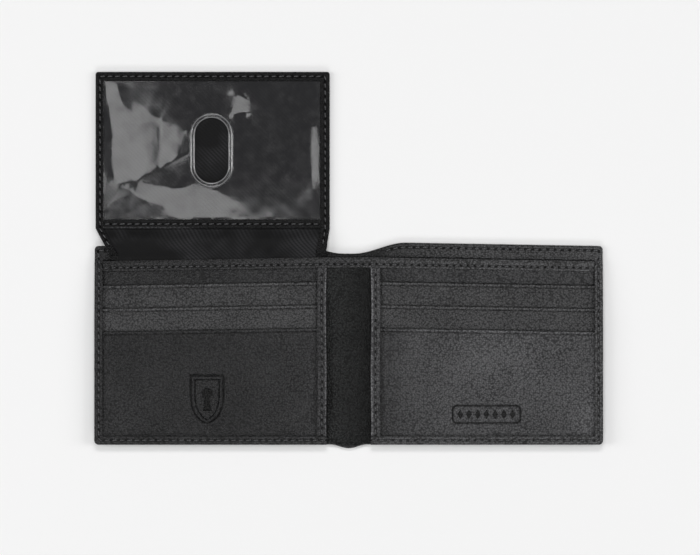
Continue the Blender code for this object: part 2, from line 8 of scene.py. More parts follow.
import json
import logging
import math
from dataclasses import dataclass, replace
from enum import Enum
from typing import Callable, Sequence

import bpy
import numpy as np
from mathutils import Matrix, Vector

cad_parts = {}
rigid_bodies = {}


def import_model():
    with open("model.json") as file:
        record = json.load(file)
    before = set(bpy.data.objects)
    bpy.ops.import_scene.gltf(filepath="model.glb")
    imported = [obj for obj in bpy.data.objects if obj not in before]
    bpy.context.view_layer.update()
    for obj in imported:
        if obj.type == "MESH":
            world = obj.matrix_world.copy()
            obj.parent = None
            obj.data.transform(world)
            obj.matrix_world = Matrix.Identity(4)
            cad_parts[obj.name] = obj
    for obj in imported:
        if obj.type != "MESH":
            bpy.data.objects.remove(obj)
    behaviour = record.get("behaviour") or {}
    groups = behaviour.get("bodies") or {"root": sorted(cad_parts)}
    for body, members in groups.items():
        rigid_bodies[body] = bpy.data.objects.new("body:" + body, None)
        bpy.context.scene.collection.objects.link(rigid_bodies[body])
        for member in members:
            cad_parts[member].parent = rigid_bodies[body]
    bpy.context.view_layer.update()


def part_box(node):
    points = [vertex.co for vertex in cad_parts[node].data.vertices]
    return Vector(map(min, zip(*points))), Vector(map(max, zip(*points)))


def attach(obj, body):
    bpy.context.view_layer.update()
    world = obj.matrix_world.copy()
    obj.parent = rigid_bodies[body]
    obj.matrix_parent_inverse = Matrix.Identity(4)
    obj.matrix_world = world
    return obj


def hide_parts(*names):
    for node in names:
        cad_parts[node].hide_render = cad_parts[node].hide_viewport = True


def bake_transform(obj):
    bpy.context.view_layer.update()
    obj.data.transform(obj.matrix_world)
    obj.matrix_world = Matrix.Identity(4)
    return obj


log = logging.getLogger("wallet")

Array = np.ndarray
Edge = Callable[[Array], Array]

METRES = 0.001  # one millimetre
STATION = 0.42  # spacing of the places along a hem or a seam
TURN = 9  # places on a rounded corner of the shell
WING_TURN = 7  # and of the wing


class Side(Enum):
    """A card panel, with the sign of its x."""

    LEFT = -1
    RIGHT = 1

    @property
    def word(self) -> str:
        """The side's name in a node."""
        return self.name.lower()

    @property
    def panel(self) -> str:
        """The body that the panel turns with."""
        return f"{self.word}_panel"


# ---- Small functions on arrays ----


def corners(node: str) -> tuple[Array, Array]:
    """Lowest and highest corner of a frame node.

    Args:
        node: the node's name.

    Returns:
        Both corners, in millimetres.
    """
    low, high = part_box(node)
    return np.array(low) / METRES, np.array(high) / METRES


def smooth(share: Array) -> Array:
    """An S-curve from 0 to 1: three times the square less twice the cube of the clipped share."""
    share = np.clip(share, 0.0, 1.0)
    return share * share * (3 - 2 * share)


def valley(distance: Array, half_width: float) -> Array:
    """A rounded dip of depth 1: the exponential of minus the squared distance in half widths."""
    return np.exp(-((distance / half_width) ** 2))


def ripple(x: Array, y: Array, length: float, seed: float) -> Array:
    """Slow unevenness between about -1 and 1: the mean of four slanted sine waves of unlike lengths.

    Args:
        x: places along X.
        y: places along Y.
        length: the longest wave.
        seed: moves the waves, so that two sheets differ.

    Returns:
        The unevenness at each place.
    """
    turn = 2 * math.pi / length
    waves = np.sin(turn * (0.9 * x + 0.5 * y) + seed)
    waves = waves + np.sin(turn * (-0.6 * x + 1.3 * y) + 2.1 * seed + 1.0)
    waves = waves + 0.7 * np.sin(turn * (1.9 * x - 1.1 * y) + 3.7 * seed + 2.0)
    return (waves + 0.5 * np.sin(turn * (2.3 * x + 2.9 * y) + 5.3 * seed)) / 3.2


def graded(length: float, step: float, fine: Sequence[tuple[float, float, float]]) -> Array:
    """Places from 0 to a length, closer together inside the fine zones.

    Args:
        length: the last place.
        step: the usual spacing.
        fine: (start, end, spacing) of each fine zone, in order.

    Returns:
        The places, in order.
    """
    places, at = [], 0.0
    for start, end, spacing in [*fine, (length, length, step)]:
        if start > at:
            places.append(np.linspace(at, start, max(1, round((start - at) / step)), endpoint=False))
        if end > start:
            places.append(np.linspace(start, end, max(1, round((end - start) / spacing)), endpoint=False))
        at = max(at, end)
    return np.append(np.concatenate(places), length)


def paces(length: float) -> Array:
    """Even places from 0 to a length, about a station apart."""
    return np.linspace(0, length, int(length / STATION))


def paired(x: Array | float, y: Array | float) -> Array:
    """(n, 2) places from their x and y, either of which may be one number for all."""
    return np.stack(np.broadcast_arrays(x, y), axis=1)


def level(value: float) -> Edge:
    """An edge that has one value everywhere."""
    return lambda x: value + 0 * x


def unit(vectors: Array) -> Array:
    """Vectors of length 1 that point the same ways."""
    return vectors / np.linalg.norm(vectors, axis=1)[:, None]


def leftward(vectors: Array) -> Array:
    """Vectors turned a quarter turn to the left."""
    return paired(-vectors[:, 1], vectors[:, 0])


# ---- Meshes ----

SHARP = math.radians(50.0)
# tone: a value per point, read by the finishes: painted shade and painted highlights on leather, and on the
# film the welds' frosting, which also paints the rim's glint
TONE = "tone"
TONES = (-0.95, 8.0)  # black, and as light as a painted highlight on a fold gets


def signed_volume(points: Array, faces: Array) -> float:
    """Volume inside closed faces of one size, as fans of tetrahedra: negative when they point inwards.

    Args:
        points: (n, 3) places.
        faces: (m, k) indices.

    Returns:
        The volume.
    """
    first = points[faces[:, 0]]
    total = 0.0
    for k in range(1, faces.shape[1] - 1):
        cross = np.cross(points[faces[:, k]], points[faces[:, k + 1]])
        total += np.einsum("ij,ij->", first, cross)
    return float(total / 6)


def make_object(
    name: str, points: Array, quads: Array, caps: Sequence[Array] = (), tone: Array | None = None
) -> bpy.types.Object:
    """An object from points and faces, with its faces turned outwards and its round parts smooth.

    Args:
        name: the piece's name.
        points: (n, 3) in millimetres.
        quads: (m, 4) indices.
        caps: faces with more corners, such as the ends of a carried profile.
        tone: how much lighter than its hide the leather is at each point, as painted shade and painted
            highlight. -1 is black.

    Returns:
        The object, linked to the scene, at the origin.
    """
    faces = [tuple(face) for face in quads.tolist()] + [tuple(cap.tolist()) for cap in caps]
    volume = signed_volume(points, quads) + sum(signed_volume(points, cap[None]) for cap in caps)
    if volume < 0:
        faces = [face[::-1] for face in faces]
    mesh = bpy.data.meshes.new(name)
    mesh.from_pydata((points * METRES).tolist(), [], faces)
    mesh.shade_smooth()
    mesh.set_sharp_from_angle(angle=SHARP)
    if tone is not None:
        values = tone.ravel().astype(np.float32)
        mesh.attributes.new(TONE, "FLOAT", "POINT").data.foreach_set("value", values)
    mesh.update()
    made = bpy.data.objects.new(name, mesh)
    bpy.context.scene.collection.objects.link(made)
    return made
def quads_between(index: Array, ahead: Array) -> Array:
    """Quads from each row of an index grid to the next, and from each column to the one ahead."""
    corner = (index[..., :-1, :], index[..., 1:, :], ahead[..., 1:, :], ahead[..., :-1, :])
    return np.stack(corner, axis=-1).reshape(-1, 4)

@dataclass(frozen=True)
class Lines:
    """Grid lines between two edges: each one lies at a share of the way, moved by an offset."""

    share: Array
    offset: Array

    @classmethod
    def even(cls, count: int, rim: Sequence[float]) -> "Lines":
        """Lines close together at both rims, with count equal steps between the edges.

        Args:
            count: the number of equal steps.
            rim: distances of the close lines from each edge.

        Returns:
            The lines.
        """
        middle = np.linspace(0.0, 1.0, count + 1)[1:-1]
        near = np.array(rim)
        share = np.concatenate([np.zeros(len(near)), middle, np.ones(len(near))])
        return cls(share, np.concatenate([near, np.zeros(len(middle)), -near[::-1]]))

    @classmethod
    def at(cls, distances: Array) -> "Lines":
        """Lines at given distances from the first edge."""
        return cls(np.zeros(len(distances)), distances)

    @classmethod
    def from_ends(cls, low: Array, high: Array) -> "Lines":
        """Lines at given distances from the first edge, then at given distances from the second.

        Args:
            low: distances from the first edge.
            high: distances from the second.

        Returns:
            The lines.
        """
        share = np.concatenate([np.zeros(len(low)), np.ones(len(high))])
        return cls(share, np.concatenate([low, -np.sort(high)[::-1]]))

    def between(self, low: Array, high: Array) -> Array:
        """Places of the lines between two edges: low, plus a share of the way, plus the offset."""
        return low + (high - low) * self.share + self.offset


RIM = (0.0, 0.03, 0.1, 0.22, 0.42, 0.8)  # distances of the grid lines next to a rounded rim


@dataclass
class Patch:
    """Plan of a sheet: a grid of places between four edges, with each place's distance from the rim."""

    x: Array
    y: Array
    rim: Array

    @classmethod
    def spanning(
        cls, across: Lines, along: Lines, left: float, right: float, low: Edge, high: Edge,
        corner: float = 0.0,
    ) -> "Patch":
        """A grid from x = left to x = right between two edges, which are functions of x.

        Square rings of the grid near each corner are moved onto circles, which rounds the corner. An edge
        at x = 0, where the two halves of a piece meet, is no rim.

        Args:
            across: lines from left to right.
            along: lines from the low edge to the high one.
            left: the lowest x.
            right: the highest x.
            low: the bottom edge.
            high: the top edge.
            corner: radius of the rounded corners.

        Returns:
            The patch.
        """
        x = across.between(np.array(left), np.array(right))
        x = np.repeat(x[:, None], len(along.share), axis=1)
        y = along.share[None, :] * (high(x) - low(x)) + low(x) + along.offset[None, :]
        from_left = x - left if left else np.full_like(x, np.inf)
        rim = np.minimum.reduce([from_left, right - x, y - low(x), high(x) - y])
        if corner > 0:
            dx = np.minimum(from_left, right - x)
            dy = np.minimum(y - low(x), high(x) - y)
            a, b = corner - dx, corner - dy
            inside = (a > 0) & (b > 0)
            diagonal = np.hypot(a, b, where=inside, out=np.ones_like(a))
            scale = np.where(inside, np.maximum(a, b) / diagonal, 1.0)
            x = np.where(inside, x + np.sign(right + left - 2 * x) * a * (1 - scale), x)
            middle = (low(x) + high(x)) / 2
            y = np.where(inside, y + np.sign(middle - y) * b * (1 - scale), y)
        return cls(x, y, np.maximum(rim, 0.0))

    def mirrored(self, side: Side) -> "Patch":
        """The patch as it is on the right, or its mirror image on the left."""
        return Patch(self.x * side.value, self.y, self.rim)

    def rounding(self, edge: float) -> Array:
        """How far a face drops at the rim, as a quarter circle of the edge's radius does."""
        inward = 1 - np.minimum(self.rim / edge, 1.0)
        return edge * (1 - np.sqrt(np.maximum(0.0, 1 - inward * inward)))

    def solid(
        self, name: str, under: Array, over: Array, edge: float, tone: Array | None = None
    ) -> bpy.types.Object:
        """A closed sheet between two heights, whose rim is rounded.

        Args:
            name: the piece's name.
            under: height of the underside over the grid.
            over: height of the upper side.
            edge: radius of the rounded rim.
            tone: how much lighter or darker than its hide the upper side is.

        Returns:
            The object.
        """
        drop = self.rounding(edge)
        faces_at = (over - drop, under + drop)
        points = [np.stack([self.x, self.y, z], axis=-1).reshape(-1, 3) for z in faces_at]
        count = self.x.size
        index = np.arange(count).reshape(self.x.shape)
        quads = quads_between(index[:, :-1], index[:, 1:])
        around = np.concatenate([index[:-1, 0], index[-1, :-1], index[1:, -1][::-1], index[0, 1:][::-1]])
        ahead = np.roll(around, -1)
        walls = np.stack([around, around + count, ahead + count, ahead], axis=-1)
        faces = np.concatenate([quads, quads[:, ::-1] + count, walls])
        shade = np.zeros(count) if tone is None else np.clip(tone, *TONES).ravel()
        return make_object(name, np.concatenate(points), faces, tone=np.append(shade, np.zeros(count)))


def carried(name: str, stations: Array, tone: Array) -> bpy.types.Object:
    """A closed profile carried along a path, with an end face at each end.

    Args:
        name: the piece's name.
        stations: (path points, profile points, 3) places.
        tone: how much lighter or darker than its hide each of them is.

    Returns:
        The object.
    """
    index = np.arange(stations.size // 3).reshape(stations.shape[:2])
    quads = quads_between(index, np.roll(index, -1, axis=1))
    caps = (index[0], index[-1][::-1])
    return make_object(name, stations.reshape(-1, 3), quads, caps, np.clip(tone, *TONES))


# ---- Stitches ----


def along(path: Array) -> Array:
    """Distance along a path of points, from its first."""
    return np.concatenate([[0.0], np.cumsum(np.hypot(*np.diff(path, axis=0).T))])
STITCH_RINGS = np.array([-1.0, -0.93, -0.6, 0.0, 0.6, 0.93, 1.0])  # places along half its length
STITCH_FAT = np.array([0.15, 0.6, 0.95, 1.0, 0.95, 0.6, 0.15])  # and the share of its radius at each
STITCH_SIDES = 6
STITCH_ENDS = ((0, [0, 1, 2, 3]), (0, [3, 4, 5, 0]), (-1, [3, 2, 1, 0]), (-1, [0, 5, 4, 3]))


@dataclass(frozen=True)
class Seam:
    """A row of lockstitches. Each one is a fat little bar whose ends dip into the leather."""

    pitch: float = 3.3
    length: float = 2.25
    radius: float = 0.24
    dip: float = 0.3
    slant: float = 0.10

    def count(self, run: Array) -> int:
        """The number of whole stitches in a run."""
        return max(1, int(run[-1] / self.pitch))

    def holes(self, run: Array) -> Array:
        """1 at each needle hole and 0 midway between: a raised cosine to the fourth power."""
        turn = math.pi * run * self.count(run) / run[-1]
        return np.cos(turn) ** 4

    def rows(
        self, path: Array, ground: Array, sewn: Array | float = 1.0, lift: float = 0.0, up: float = 1.0
    ) -> tuple[Array, Array]:
        """Points and faces of all stitches along a path.

        A stitch's bar has seven rings of six points. Its radius shrinks to its ends, and its height
        falls there with the square of the distance from the middle.

        Args:
            path: (n, 2) places that the seam passes through.
            ground: the leather's height at each of them.
            sewn: above one half where there are stitches.
            lift: the bar's middle above the leather.
            up: 1 on an upper side, -1 on an underside.

        Returns:
            The points and the quads.
        """
        run = along(path)
        total = self.count(run)
        middle = (np.arange(total) + 0.5) * run[-1] / total
        middle = middle[np.interp(middle, run, sewn * np.ones(len(run))) > 0.5]
        at, before, after = (
            np.stack([np.interp(middle + away, run, path[:, k]) for k in (0, 1)], axis=1)
            for away in (0.0, -0.5, 0.5)
        )
        tangent = unit(after - before)
        tangent = unit(tangent + leftward(tangent) * self.slant)
        normal = leftward(tangent)
        fat = self.radius * STITCH_FAT
        turn = np.arange(STITCH_SIDES) * math.pi / (STITCH_SIDES / 2)
        forward = (STITCH_RINGS * self.length / 2)[:, None] * np.ones(STITCH_SIDES)
        aside = fat[:, None] * np.cos(turn)
        high = fat[:, None] * np.sin(turn) - self.dip * (STITCH_RINGS**2)[:, None]
        seat = np.interp(middle, run, ground)
        points = np.empty((len(middle), len(fat), STITCH_SIDES, 3))
        points[..., :2] = (
            at[:, None, None, :]
            + forward[None, :, :, None] * tangent[:, None, None, :]
            + aside[None, :, :, None] * normal[:, None, None, :]
        )
        points[..., 2] = seat[:, None, None] + up * (lift + high)[None]
        index = np.arange(points.size // 3).reshape(points.shape[:3])
        sides = quads_between(index, np.roll(index, -1, axis=2))
        ends = [index[:, ring][:, picked] for ring, picked in STITCH_ENDS]
        return points.reshape(-1, 3), np.concatenate([sides, *ends])


BORDER_SEAM = Seam()
BACK_SEAM = Seam(radius=0.17, length=2.3, slant=-0.1)  # the same row's bobbin side
BAND_SEAM = Seam(pitch=3.05, length=1.95, radius=0.2)


def joined(parts: Sequence[tuple[Array, Array]]) -> tuple[Array, Array]:
    """One set of points and faces from several, whose indices are moved on.

    Args:
        parts: the points and the quads of each.

    Returns:
        All the points and all the quads.
    """
    points, faces, count = [], [], 0
    for part, quads in parts:
        points.append(part)
        faces.append(quads + count)
        count += len(part)
    return np.concatenate(points), np.concatenate(faces)


# ---- Finishes ----


def linear(code: str) -> tuple[float, float, float, float]:
    """A linear colour from an sRGB hex code, by the sRGB curve.

    Args:
        code: the colour, with a hash sign.

    Returns:
        Red, green, blue and alpha.
    """
    parts = [int(code[k : k + 2], 16) / 255 for k in (1, 3, 5)]
    red, green, blue = (p / 12.92 if p <= 0.04045 else ((p + 0.055) / 1.055) ** 2.4 for p in parts)
    return red, green, blue, 1.0


def wave_scale(pitch: float) -> float:
    """Scale of a wave texture with a pitch in millimetres: its waves turn by 20 radians per unit."""
    return 2 * math.pi / (20 * pitch * METRES)


def feed(tree: bpy.types.NodeTree, node: bpy.types.Node, **inputs: object) -> None:
    """Sets or links a node's sockets.

    Args:
        tree: the material's node tree.
        node: the node.
        inputs: its sockets by name, with _ for a space, each a value, the socket that feeds it, or the
            node whose first output does. A name such as in_0 picks a socket by its place.
    """
    for key, value in inputs.items():
        socket = node.inputs[int(key[3:])] if key.startswith("in_") else node.inputs[key.replace("_", " ")]
        if isinstance(value, bpy.types.Node):
            value = value.outputs[0]
        if isinstance(value, bpy.types.NodeSocket):
            tree.links.new(value, socket)
        else:
            socket.default_value = value


def add(
    tree: bpy.types.NodeTree, kind: str, settings: dict[str, object] | None = None, **inputs: object
) -> bpy.types.Node:
    """Adds a node with its settings, such as an operation, and feeds its sockets.

    Args:
        tree: the material's node tree.
        kind: the node's type.
        settings: its properties.
        inputs: its sockets, as feed takes them.

    Returns:
        The node.
    """
    node = tree.nodes.new(kind)
    for key, value in (settings or {}).items():
        setattr(node, key, value)
    feed(tree, node, **inputs)
    return node


def blank(name: str) -> tuple[bpy.types.Material, bpy.types.NodeTree, bpy.types.Node]:
    """A new material, its node tree, and its Principled shader.

    Args:
        name: the material's name.

    Returns:
        All three.
    """
    made = bpy.data.materials.new(name)
    made.use_nodes = True
    return made, made.node_tree, made.node_tree.nodes["Principled BSDF"]


@dataclass(frozen=True)
class Nappa:
    """Drum-dyed black nappa, plated and waxed: fine round pebbles with soft creases, and a low sheen.

    Its colour is painted lighter towards the right end of the open width, as painted light; a field gives
    how much lighter its right end is than its left. Each piece also holds a tone at every point, from its
    own attribute: painted shade in needle holes, creases and laps, and painted highlights along folds and
    rims.

    The pebbles of such leather are about 0.5 mm wide. They are drawn about twice as wide, because finer
    ones would not show at the size at which the whole wallet is seen.
    """

    name: str
    dark: str
    light: str
    roughness: float
    sheen: float
    # painted light: how much lighter the colour is at the right end than at the left
    shading: float = 1.0
    pebble: float = 0.86
    relief: float = 0.36

    def build(self) -> bpy.types.Material:
        """Pebbles from two layers of cells on Object coordinates, broken up by noise.

        Returns:
            The material.
        """
        made, tree, shader = blank(self.name)
        cell = self.pebble * METRES
        place = add(tree, "ShaderNodeTexCoord").outputs["Object"]
        wander = add(tree, "ShaderNodeTexNoise", Vector=place, Scale=0.6 / cell, Detail=2.0)
        offset = add(
            tree, "ShaderNodeVectorMath", {"operation": "SCALE"}, Vector=wander.outputs["Color"],
            Scale=0.35 * cell,
        )
        moved = add(tree, "ShaderNodeVectorMath", {"operation": "ADD"}, in_0=place, in_1=offset)
        big = add(
            tree, "ShaderNodeTexVoronoi", {"feature": "SMOOTH_F1"}, Vector=moved, Scale=1 / cell,
            Smoothness=0.35, Randomness=0.85,
        )
        small = add(tree, "ShaderNodeTexNoise", Vector=moved, Scale=1.7 / cell, Detail=3.0, Roughness=0.62)
        crown = add(tree, "ShaderNodeMapRange", Value=big, From_Min=0.72, From_Max=0.12)
        grain = add(tree, "ShaderNodeMath", {"operation": "MULTIPLY_ADD"}, in_0=small, in_1=0.7, in_2=crown)
        cloud = add(tree, "ShaderNodeTexNoise", Vector=place, Scale=55.0, Detail=4.0, Roughness=0.6)
        patchy = add(tree, "ShaderNodeMapRange", Value=cloud, From_Min=0.35, From_Max=0.68)
        tone = add(tree, "ShaderNodeMath", {"operation": "MULTIPLY_ADD"}, in_0=patchy, in_1=0.22, in_2=crown)
        share = add(tree, "ShaderNodeMapRange", Value=tone, From_Max=1.22)
        dark, light = linear(self.dark), linear(self.light)
        colour = add(tree, "ShaderNodeMix", {"data_type": "RGBA"}, in_0=share, in_6=dark, in_7=light)
        # painted shade and highlights from the tone attribute, times painted light that grows towards +X
        painted_tone = add(tree, "ShaderNodeAttribute", {"attribute_name": TONE}).outputs["Fac"]
        width = add(tree, "ShaderNodeSeparateXYZ", Vector=place)
        painted_light_ramp = add(
            tree, "ShaderNodeMapRange", {"interpolation_type": "SMOOTHSTEP"}, Value=width, From_Min=-0.06,
            From_Max=0.06, To_Min=1.0, To_Max=self.shading,
        )
        lit = add(tree, "ShaderNodeMath", {"operation": "MULTIPLY_ADD"}, in_0=painted_tone, in_1=painted_light_ramp, in_2=painted_light_ramp)
        shaded = add(
            tree, "ShaderNodeVectorMath", {"operation": "SCALE"}, Vector=colour.outputs[2], Scale=lit
        )
        dull = add(
            tree, "ShaderNodeMapRange", Value=small, From_Min=0.3, From_Max=0.7,
            To_Min=self.roughness - 0.07, To_Max=self.roughness + 0.1,
        )
        bump = add(tree, "ShaderNodeBump", Height=grain, Strength=1.0, Distance=self.relief * METRES)
        feed(tree, shader, Base_Color=shaded, Roughness=dull, Normal=bump, IOR=1.5)
        feed(tree, shader, Specular_IOR_Level=self.sheen)
        return made


@dataclass(frozen=True)
class Twill:
    """Polyester twill lining: filament yarn woven in diagonal ribs, which gives a slow moving sheen.

    Such a lining has about 0.35 mm between ribs. They are drawn at a wider pitch, so that they show.
    """

    name: str
    dark: str
    light: str
    rib: float = 0.95

    def build(self) -> bpy.types.Material:
        """Diagonal ribs crossed by yarns on Object coordinates, coloured lighter in noise zones as a painted
        sheen.

        Returns:
            The material.
        """
        made, tree, shader = blank(self.name)
        place = add(tree, "ShaderNodeTexCoord").outputs["Object"]
        scale = wave_scale(self.rib)
        ribs = add(
            tree, "ShaderNodeTexWave", {"bands_direction": "DIAGONAL"}, Vector=place, Scale=scale,
            Distortion=0.15, Detail=1.0, Detail_Scale=2.0,
        ).outputs["Fac"]
        turned = add(tree, "ShaderNodeMapping", Vector=place, Rotation=(0.0, 0.0, math.radians(100.0)))
        yarns = add(
            tree, "ShaderNodeTexWave", {"bands_direction": "X"}, Vector=turned, Scale=scale * 1.3,
            Distortion=0.4,
        ).outputs["Fac"]
        weave = add(tree, "ShaderNodeMath", {"operation": "MULTIPLY_ADD"}, in_0=yarns, in_1=0.45, in_2=ribs)
        # painted sheen: the weave is coloured lighter inside noise zones
        sheen = add(tree, "ShaderNodeTexNoise", Vector=place, Scale=60.0, Detail=2.0)
        zone = add(tree, "ShaderNodeMapRange", Value=sheen, From_Min=0.42, From_Max=0.66)
        glow = add(tree, "ShaderNodeMath", {"operation": "MULTIPLY"}, in_0=weave, in_1=zone)
        share = add(tree, "ShaderNodeMapRange", Value=glow, From_Max=1.3)
        dark, light = linear(self.dark), linear(self.light)
        colour = add(tree, "ShaderNodeMix", {"data_type": "RGBA"}, in_0=share, in_6=dark, in_7=light)
        bump = add(tree, "ShaderNodeBump", Height=weave, Strength=0.4, Distance=0.1 * METRES)
        feed(tree, shader, Base_Color=colour.outputs[2], Normal=bump, Roughness=0.6, Specular_IOR_Level=0.15)
        return made


@dataclass(frozen=True)
class Thread:
    """Bonded polyester thread, waxed: plied yarn whose twist shows as fine slanted ridges."""

    name: str
    dark: str
    light: str
    ply: float = 0.5

    def build(self) -> bpy.types.Material:
        """Slanted ply ridges, whose raised crowns are coloured lighter as a painted highlight.

        Returns:
            The material.
        """
        made, tree, shader = blank(self.name)
        place = add(tree, "ShaderNodeTexCoord").outputs["Object"]
        twist = add(
            tree, "ShaderNodeTexWave", {"bands_direction": "DIAGONAL"}, Vector=place,
            Scale=wave_scale(self.ply), Distortion=1.0,
        ).outputs["Fac"]
        fuzz = add(tree, "ShaderNodeTexNoise", Vector=place, Scale=900.0, Detail=2.0)
        both = add(tree, "ShaderNodeMath", {"operation": "MULTIPLY_ADD"}, in_0=fuzz, in_1=0.6, in_2=twist)
        share = add(tree, "ShaderNodeMapRange", Value=both, From_Min=0.2, From_Max=1.4)
        dark, light = linear(self.dark), linear(self.light)
        colour = add(tree, "ShaderNodeMix", {"data_type": "RGBA"}, in_0=share, in_6=dark, in_7=light)
        bump = add(tree, "ShaderNodeBump", Height=both, Strength=0.5, Distance=0.06 * METRES)
        feed(tree, shader, Base_Color=colour.outputs[2], Normal=bump, Roughness=0.5)
        return made


@dataclass(frozen=True)
class ClearVinyl:
    """Calendered clear vinyl film: glossy and slightly hazy, so that lamps show in it as soft patches."""

    name: str
    haze: str
    # colour of the weld rim: its own frosting, and also the rim's glint as a painted highlight
    frost: str
    body: float = 0.5

    def build(self) -> bpy.types.Material:
        """A glossy face mixed with clear, with fine scuffs in its gloss, and whitened where it is welded:
        partly the weld's own frosting, partly a painted glint on the rim.

        Returns:
            The material.
        """
        made, tree, shader = blank(self.name)
        place = add(tree, "ShaderNodeTexCoord").outputs["Object"]
        scuff = add(tree, "ShaderNodeTexNoise", Vector=place, Scale=240.0, Detail=5.0, Roughness=0.7)
        gloss = add(
            tree, "ShaderNodeMapRange", Value=scuff, From_Min=0.35, From_Max=0.75, To_Min=0.06, To_Max=0.16
        )
        bump = add(tree, "ShaderNodeBump", Height=scuff, Strength=0.02, Distance=0.2 * METRES)
        # weld rim: the film's frosting there also paints the rim's glint, a painted highlight
        weld = add(tree, "ShaderNodeAttribute", {"attribute_name": TONE}).outputs["Fac"]
        haze, frost = linear(self.haze), linear(self.frost)
        colour = add(tree, "ShaderNodeMix", {"data_type": "RGBA"}, in_0=weld, in_6=haze, in_7=frost)
        feed(tree, shader, Base_Color=colour.outputs[2], Roughness=gloss, Normal=bump, IOR=1.9)
        clear = add(tree, "ShaderNodeBsdfTransparent", Color=(0.93, 0.93, 0.93, 1.0))
        film = add(tree, "ShaderNodeMixShader", in_0=self.body, in_1=clear, in_2=shader)
        feed(tree, tree.nodes["Material Output"], Surface=film)
        return made


@dataclass(frozen=True)
class ShieldFoil:
    """Metallised polyester sheet: thin aluminium on film, crumpled finely where it was laid in."""

    name: str
    tint: str

    def build(self) -> bpy.types.Material:
        """Bare metal with fine crumples.

        Returns:
            The material.
        """
        made, tree, shader = blank(self.name)
        place = add(tree, "ShaderNodeTexCoord").outputs["Object"]
        crumple = add(tree, "ShaderNodeTexNoise", Vector=place, Scale=180.0, Detail=6.0)
        bump = add(tree, "ShaderNodeBump", Height=crumple, Strength=0.5, Distance=0.3 * METRES)
        feed(tree, shader, Base_Color=linear(self.tint), Normal=bump, Metallic=1.0, Roughness=0.35)
        return made


@dataclass(frozen=True)
class Backdrop:
    """Matt white paper."""

    name: str
    shade: str

    def build(self) -> bpy.types.Material:
        """A plain matt face.

        Returns:
            The material.
        """
        made, tree, shader = blank(self.name)
        feed(tree, shader, Base_Color=linear(self.shade), Roughness=0.9, Specular_IOR_Level=0.1)
        return made


class Finishes:
    """Every material of the wallet, made once."""

    def __init__(self) -> None:
        """Builds the materials."""
        self.shell = Nappa("shell_nappa", "#0c0c0c", "#3a3a3b", 0.36, sheen=0.22, shading=2.5).build()
        # a darker copy of the shell's leather: painted shade
        self.gusset = Nappa("gusset_nappa", "#060606", "#2d2e2e", 0.38, sheen=0.15).build()
        # a darker copy of the shell's leather: painted shade
        self.wing = Nappa("wing_nappa", "#040404", "#1b1b1c", 0.38, sheen=0.14).build()
        self.pocket = Nappa("pocket_nappa", "#0e0e0f", "#3b3b3c", 0.34, sheen=0.23, shading=2.75).build()
        # a lighter copy of the pocket's leather: painted light
        self.slot = Nappa("slot_nappa", "#161617", "#585859", 0.36, sheen=0.26).build()
        self.lining = Twill("twill_lining", "#0b0b0c", "#2c2c2e").build()
        self.thread = Thread("bonded_thread", "#232324", "#626264").build()
        self.film = ClearVinyl("clear_vinyl", "#313133", "#c4c4c6").build()
        self.foil = ShieldFoil("shield_foil", "#b9babd").build()


def finish_piece(
    piece: bpy.types.Object, material: bpy.types.Material, slot: str, *nodes: str
) -> bpy.types.Object:
    """Gives a piece its material, and hides the frame nodes that it stands for.

    Args:
        piece: the piece.
        material: its finish.
        slot: the record's material slot; not used.
        nodes: the frame nodes that it replaces.

    Returns:
        The piece.
    """
    piece.data.materials.clear()
    piece.data.materials.append(material)
    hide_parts(*nodes)
    log.info("%s: %d faces", piece.name, len(piece.data.polygons))
    return piece


def stitched(stem: str, rows: tuple[Array, Array], looks: Finishes, *nodes: str) -> bpy.types.Object:
    """A piece that is made of stitches, and the nodes it stands for."""
    return finish_piece(make_object(f"{stem}_stitches", *rows), looks.thread, "black_thread", *nodes)


def merged(pieces: Sequence[bpy.types.Object]) -> bpy.types.Object:
    """One object from several meshes, with the first one's name.

    Args:
        pieces: the objects, the first of which stays.

    Returns:
        The first object.
    """
    first = pieces[0]
    with bpy.context.temp_override(active_object=first, selected_editable_objects=list(pieces)):
        bpy.ops.object.join()
    return first


# ---- The wallet's plan and heights ----


@dataclass(frozen=True)
class Plan:
    """Outline of the open wallet. Distances run from the middle of the spine."""

    half_width: float
    half_spine: float
    bottom: float
    top: float
    wall: float
    fall: float = 1.8
    notch: float = 5.2
    notch_start: float = 2.0
    notch_end: float = 26.0
    bulge: float = 1.7
    bulge_half: float = 8.0
    hem_wall: float = 0.65
    border: float = 3.7
    spine_border: float = 4.2
    back_inset: float = 2.7
    band: float = 4.6
    band_seam: float = 3.1

    @classmethod
    def of_frame(cls) -> "Plan":
        """Reads the frame's panels.

        Returns:
            The plan.
        """
        backing_low, backing_high = corners("card_backing_right")
        half_width = float(corners("outer_shell_right")[1][0])
        bottom = float(backing_low[1]) - cls.hem_wall
        wall = float(backing_high[1]) - cls.fall / 2
        return cls(half_width, float(backing_low[0]), bottom, -bottom, wall)

    def fallen(self, x: Array, y: float) -> Array:
        """A top edge at x: it falls evenly from the spine to the outer side."""
        share = (np.abs(x) - self.half_spine) / (self.half_width - self.half_spine)
        return y + self.fall * (0.5 - np.maximum(0.0, share))

    def shell_top(self, x: Array) -> Array:
        """The shell's top edge: a cosine S-curve lowers it at the spine."""
        share = np.clip((np.abs(x) - self.notch_start) / (self.notch_end - self.notch_start), 0, 1)
        return self.fallen(x, self.top) - self.notch * 0.5 * (1 + np.cos(math.pi * share))

    def shell_bottom(self, x: Array) -> Array:
        """The shell's bottom edge: a cosine lowers it at the spine."""
        share = np.minimum(1.0, np.abs(x) / self.bulge_half)
        return self.bottom - self.bulge * 0.5 * (1 + np.cos(math.pi * share))

    def wall_top(self, x: Array) -> Array:
        """Top edge of the inner wall and its band."""
        return self.fallen(x, self.wall)


